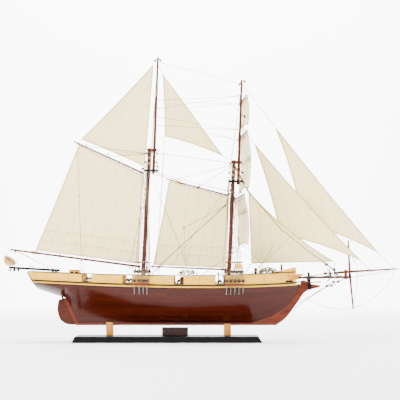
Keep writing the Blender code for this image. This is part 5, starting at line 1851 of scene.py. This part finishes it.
def add_reef_points(name, sail, body, distances, count):
    """Short ends hanging either side of a gaff sail's reef line."""
    group = Group()
    for distance in distances:
        for share in steps(0.05, 0.95, count):
            (s, t), _ = sail.inward("foot", share, distance)
            point = sail.at(s, t)
            for sign in (1, -1):
                top = point + sail.normal * 0.0006 * sign
                group.tube([top, top + sail.normal * 0.0009 * sign - Vector((0, 0, 0.004)),
                            top + sail.normal * 0.0006 * sign - Vector((0, 0, 0.0085))], 0.00028, sides=4)
    group.done(name, "pale_rope", body)


YARD_BODY = "spritsail_body"
HEEL_GUY = ((0.5323, 0.0, 0.1666), (0.526, 0.001, 0.153), (0.5141, 0.0025, 0.1334), (0.499, 0.004, 0.1145),
            (0.4785, 0.0055, 0.0992), (0.456, 0.0075, 0.086), (0.4362, 0.0085, 0.0796))
HULL_GUY = ((0.4358, 0.0085, 0.08), (0.422, 0.012, 0.0768), (0.4065, 0.0165, 0.0761), (0.3784, 0.024, 0.0796),
            (0.356, 0.028, 0.087), (0.3353, 0.031, 0.0976), (0.3175, 0.033, 0.1135), (0.303, 0.034, 0.131),
            (0.296, 0.0335, 0.145))
YARD_LINE = ((0.4248, 0.011, 0.227), (0.435, 0.017, 0.201), (0.445, 0.02, 0.1778), (0.4475, 0.0205, 0.16),
             (0.4462, 0.02, 0.1427), (0.444, 0.017, 0.12), (0.4392, 0.012, 0.1006), (0.4362, 0.0105, 0.085))
GUY_DIAMETER = 0.0011


def slack_cord(name, route, body, crossing):
    """A line that hangs slack between two made-fast ends."""
    line = curve_points(route, 6)
    group = Group()
    group.tube(line, GUY_DIAMETER / 2, sides=8)
    piece = group.done(name, "grey_rope", None if crossing else body)
    if crossing:
        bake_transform(piece)


def make_spritsail_lines(ship):
    hull_end = on_side(0.296, 0.145, 1, 0.0008)
    slack_cord("heel_guy_tip", HEEL_GUY, YARD_BODY, "end")
    slack_cord("heel_guy_hull", (*HULL_GUY[:-1], tuple(hull_end)), YARD_BODY, "start")
    slack_cord("yard_slack_line", YARD_LINE, YARD_BODY, None)
    rig = Rigging(YARD_BODY, "spritsail_gear")
    for x, z in ((0.4245, 0.2285), (0.436, 0.081)):
        lashing(rig.group("pale_rope"), (x, 0.0085, z), (-0.04, 0, 1), 0.0017, 5, 0.0004)
    lashing(rig.group("dark_rope"), (0.4282, 0.0085, 0.154), (-0.04, 0, 1), 0.0026, 8, 0.0005)
    rig.done()
    ship.rope([(0.419, 0.004, 0.156), (0.4282, 0.006, 0.156), (0.43, 0.0035, 0.15), (0.419, 0.003, 0.15)],
              "dark_rope", 0.0006)
    ship.rope([(0.4338, 0, 0.153), (0.5251, 0, 0.164)], "grey_rope", 0.00035)
    ship.rope([(0.53, 0, 0.17), (0.4345, 0, 0.15), (0.42, 0, 0.148)], "grey_rope", 0.0004)


# ---------------------------------------------------------------- stage and camera
def area_light(name, place_at, aim_at, size, power, colour=(1, 1, 1)):
    light = bpy.data.lights.new(name, "AREA")
    light.shape = "RECTANGLE"
    light.size, light.size_y = size
    light.energy = power
    light.color = colour
    obj = bpy.data.objects.new(name, light)
    obj.location = place_at
    obj.rotation_euler = (Vector(aim_at) - Vector(place_at)).to_track_quat("-Z", "Y").to_euler()
    bpy.context.scene.collection.objects.link(obj)


def make_stage():
    """A pale seamless floor and wall, soft studio lights, and the camera beside the hull."""
    profile = [(-7.0, 0.0), (4.4, 0.0)]
    profile += [(4.4 + 1.6 * math.sin(a), 1.6 - 1.6 * math.cos(a))
                for a in [math.pi / 2 * i / 16 for i in range(1, 17)]]
    profile.append((6.0, 7.0))
    bm = bmesh.new()
    rows = [[bm.verts.new((x, y, z)) for y, z in profile] for x in (-12.0, 12.0)]
    for i in range(len(profile) - 1):
        bm.faces.new((rows[0][i], rows[1][i], rows[1][i + 1], rows[0][i + 1]))
    mesh = bpy.data.meshes.new("studio_floor")
    bm.to_mesh(mesh)
    bm.free()
    mesh.shade_smooth()
    mat, shader = shader_of("studio_paper", 0.6)
    shader.inputs["Base Color"].default_value = (0.9, 0.9, 0.895, 1)
    mesh.materials.append(mat)
    obj = bpy.data.objects.new("studio_floor", mesh)
    bpy.context.scene.collection.objects.link(obj)

    world = bpy.data.worlds.new("studio")
    bpy.context.scene.world = world
    world.use_nodes = True
    world.node_tree.nodes["Background"].inputs["Color"].default_value = (0.95, 0.97, 1.0, 1)
    world.node_tree.nodes["Background"].inputs["Strength"].default_value = 1.12

    area_light("key", (-1.3, -2.2, 2.2), (0.05, 0, 0.2), (1.6, 1.2), 235, (1.0, 0.985, 0.96))
    area_light("fill", (2.3, -1.8, 1.0), (0.05, 0, 0.25), (1.4, 1.4), 62)
    area_light("top", (0.0, 0.3, 2.6), (0.0, 0.0, 0.0), (2.4, 1.6), 240)
    area_light("backdrop", (0.0, 3.2, 3.6), (0.0, 6.0, 1.0), (5.0, 1.0), 1500)

    camera = bpy.data.cameras.new("camera")
    camera.lens = 123.1
    camera.sensor_width = 36.0
    camera.shift_y = 0.188
    camera.clip_end = 30.0
    rig = bpy.data.objects.new("camera", camera)
    rig.location = (0.0765, -3.2, 0.156)
    rig.rotation_euler = (math.pi / 2, 0, 0)
    bpy.context.scene.collection.objects.link(rig)
    bpy.context.scene.camera = rig


make_stage()
make_hull()
make_stand()
make_masts()
make_spars()
make_channels()
make_guns()
make_deck_fittings()
make_stern()
make_bow()
main_sail, top_sail, fore_sail = make_gaff_sails()
make_bends(main_sail, top_sail, fore_sail)
add_reef_points("mainsail_reef_points", main_sail, "main_boom_body", (0.026, 0.05), 15)
add_reef_points("fore_sail_reef_points", fore_sail, "fore_boom_body", (0.026, 0.046), 12)
make_stay_sails()
square_sails = make_square_sails()
make_sail_ties(square_sails)
make_braces()
ship_rig = Rigging(SHIP, "ship_rig")
make_standing(ship_rig)
make_masthead_blocks(ship_rig)
make_head_sail_lines(ship_rig)
make_running()
make_spritsail_lines(ship_rig)
ship_rig.done()
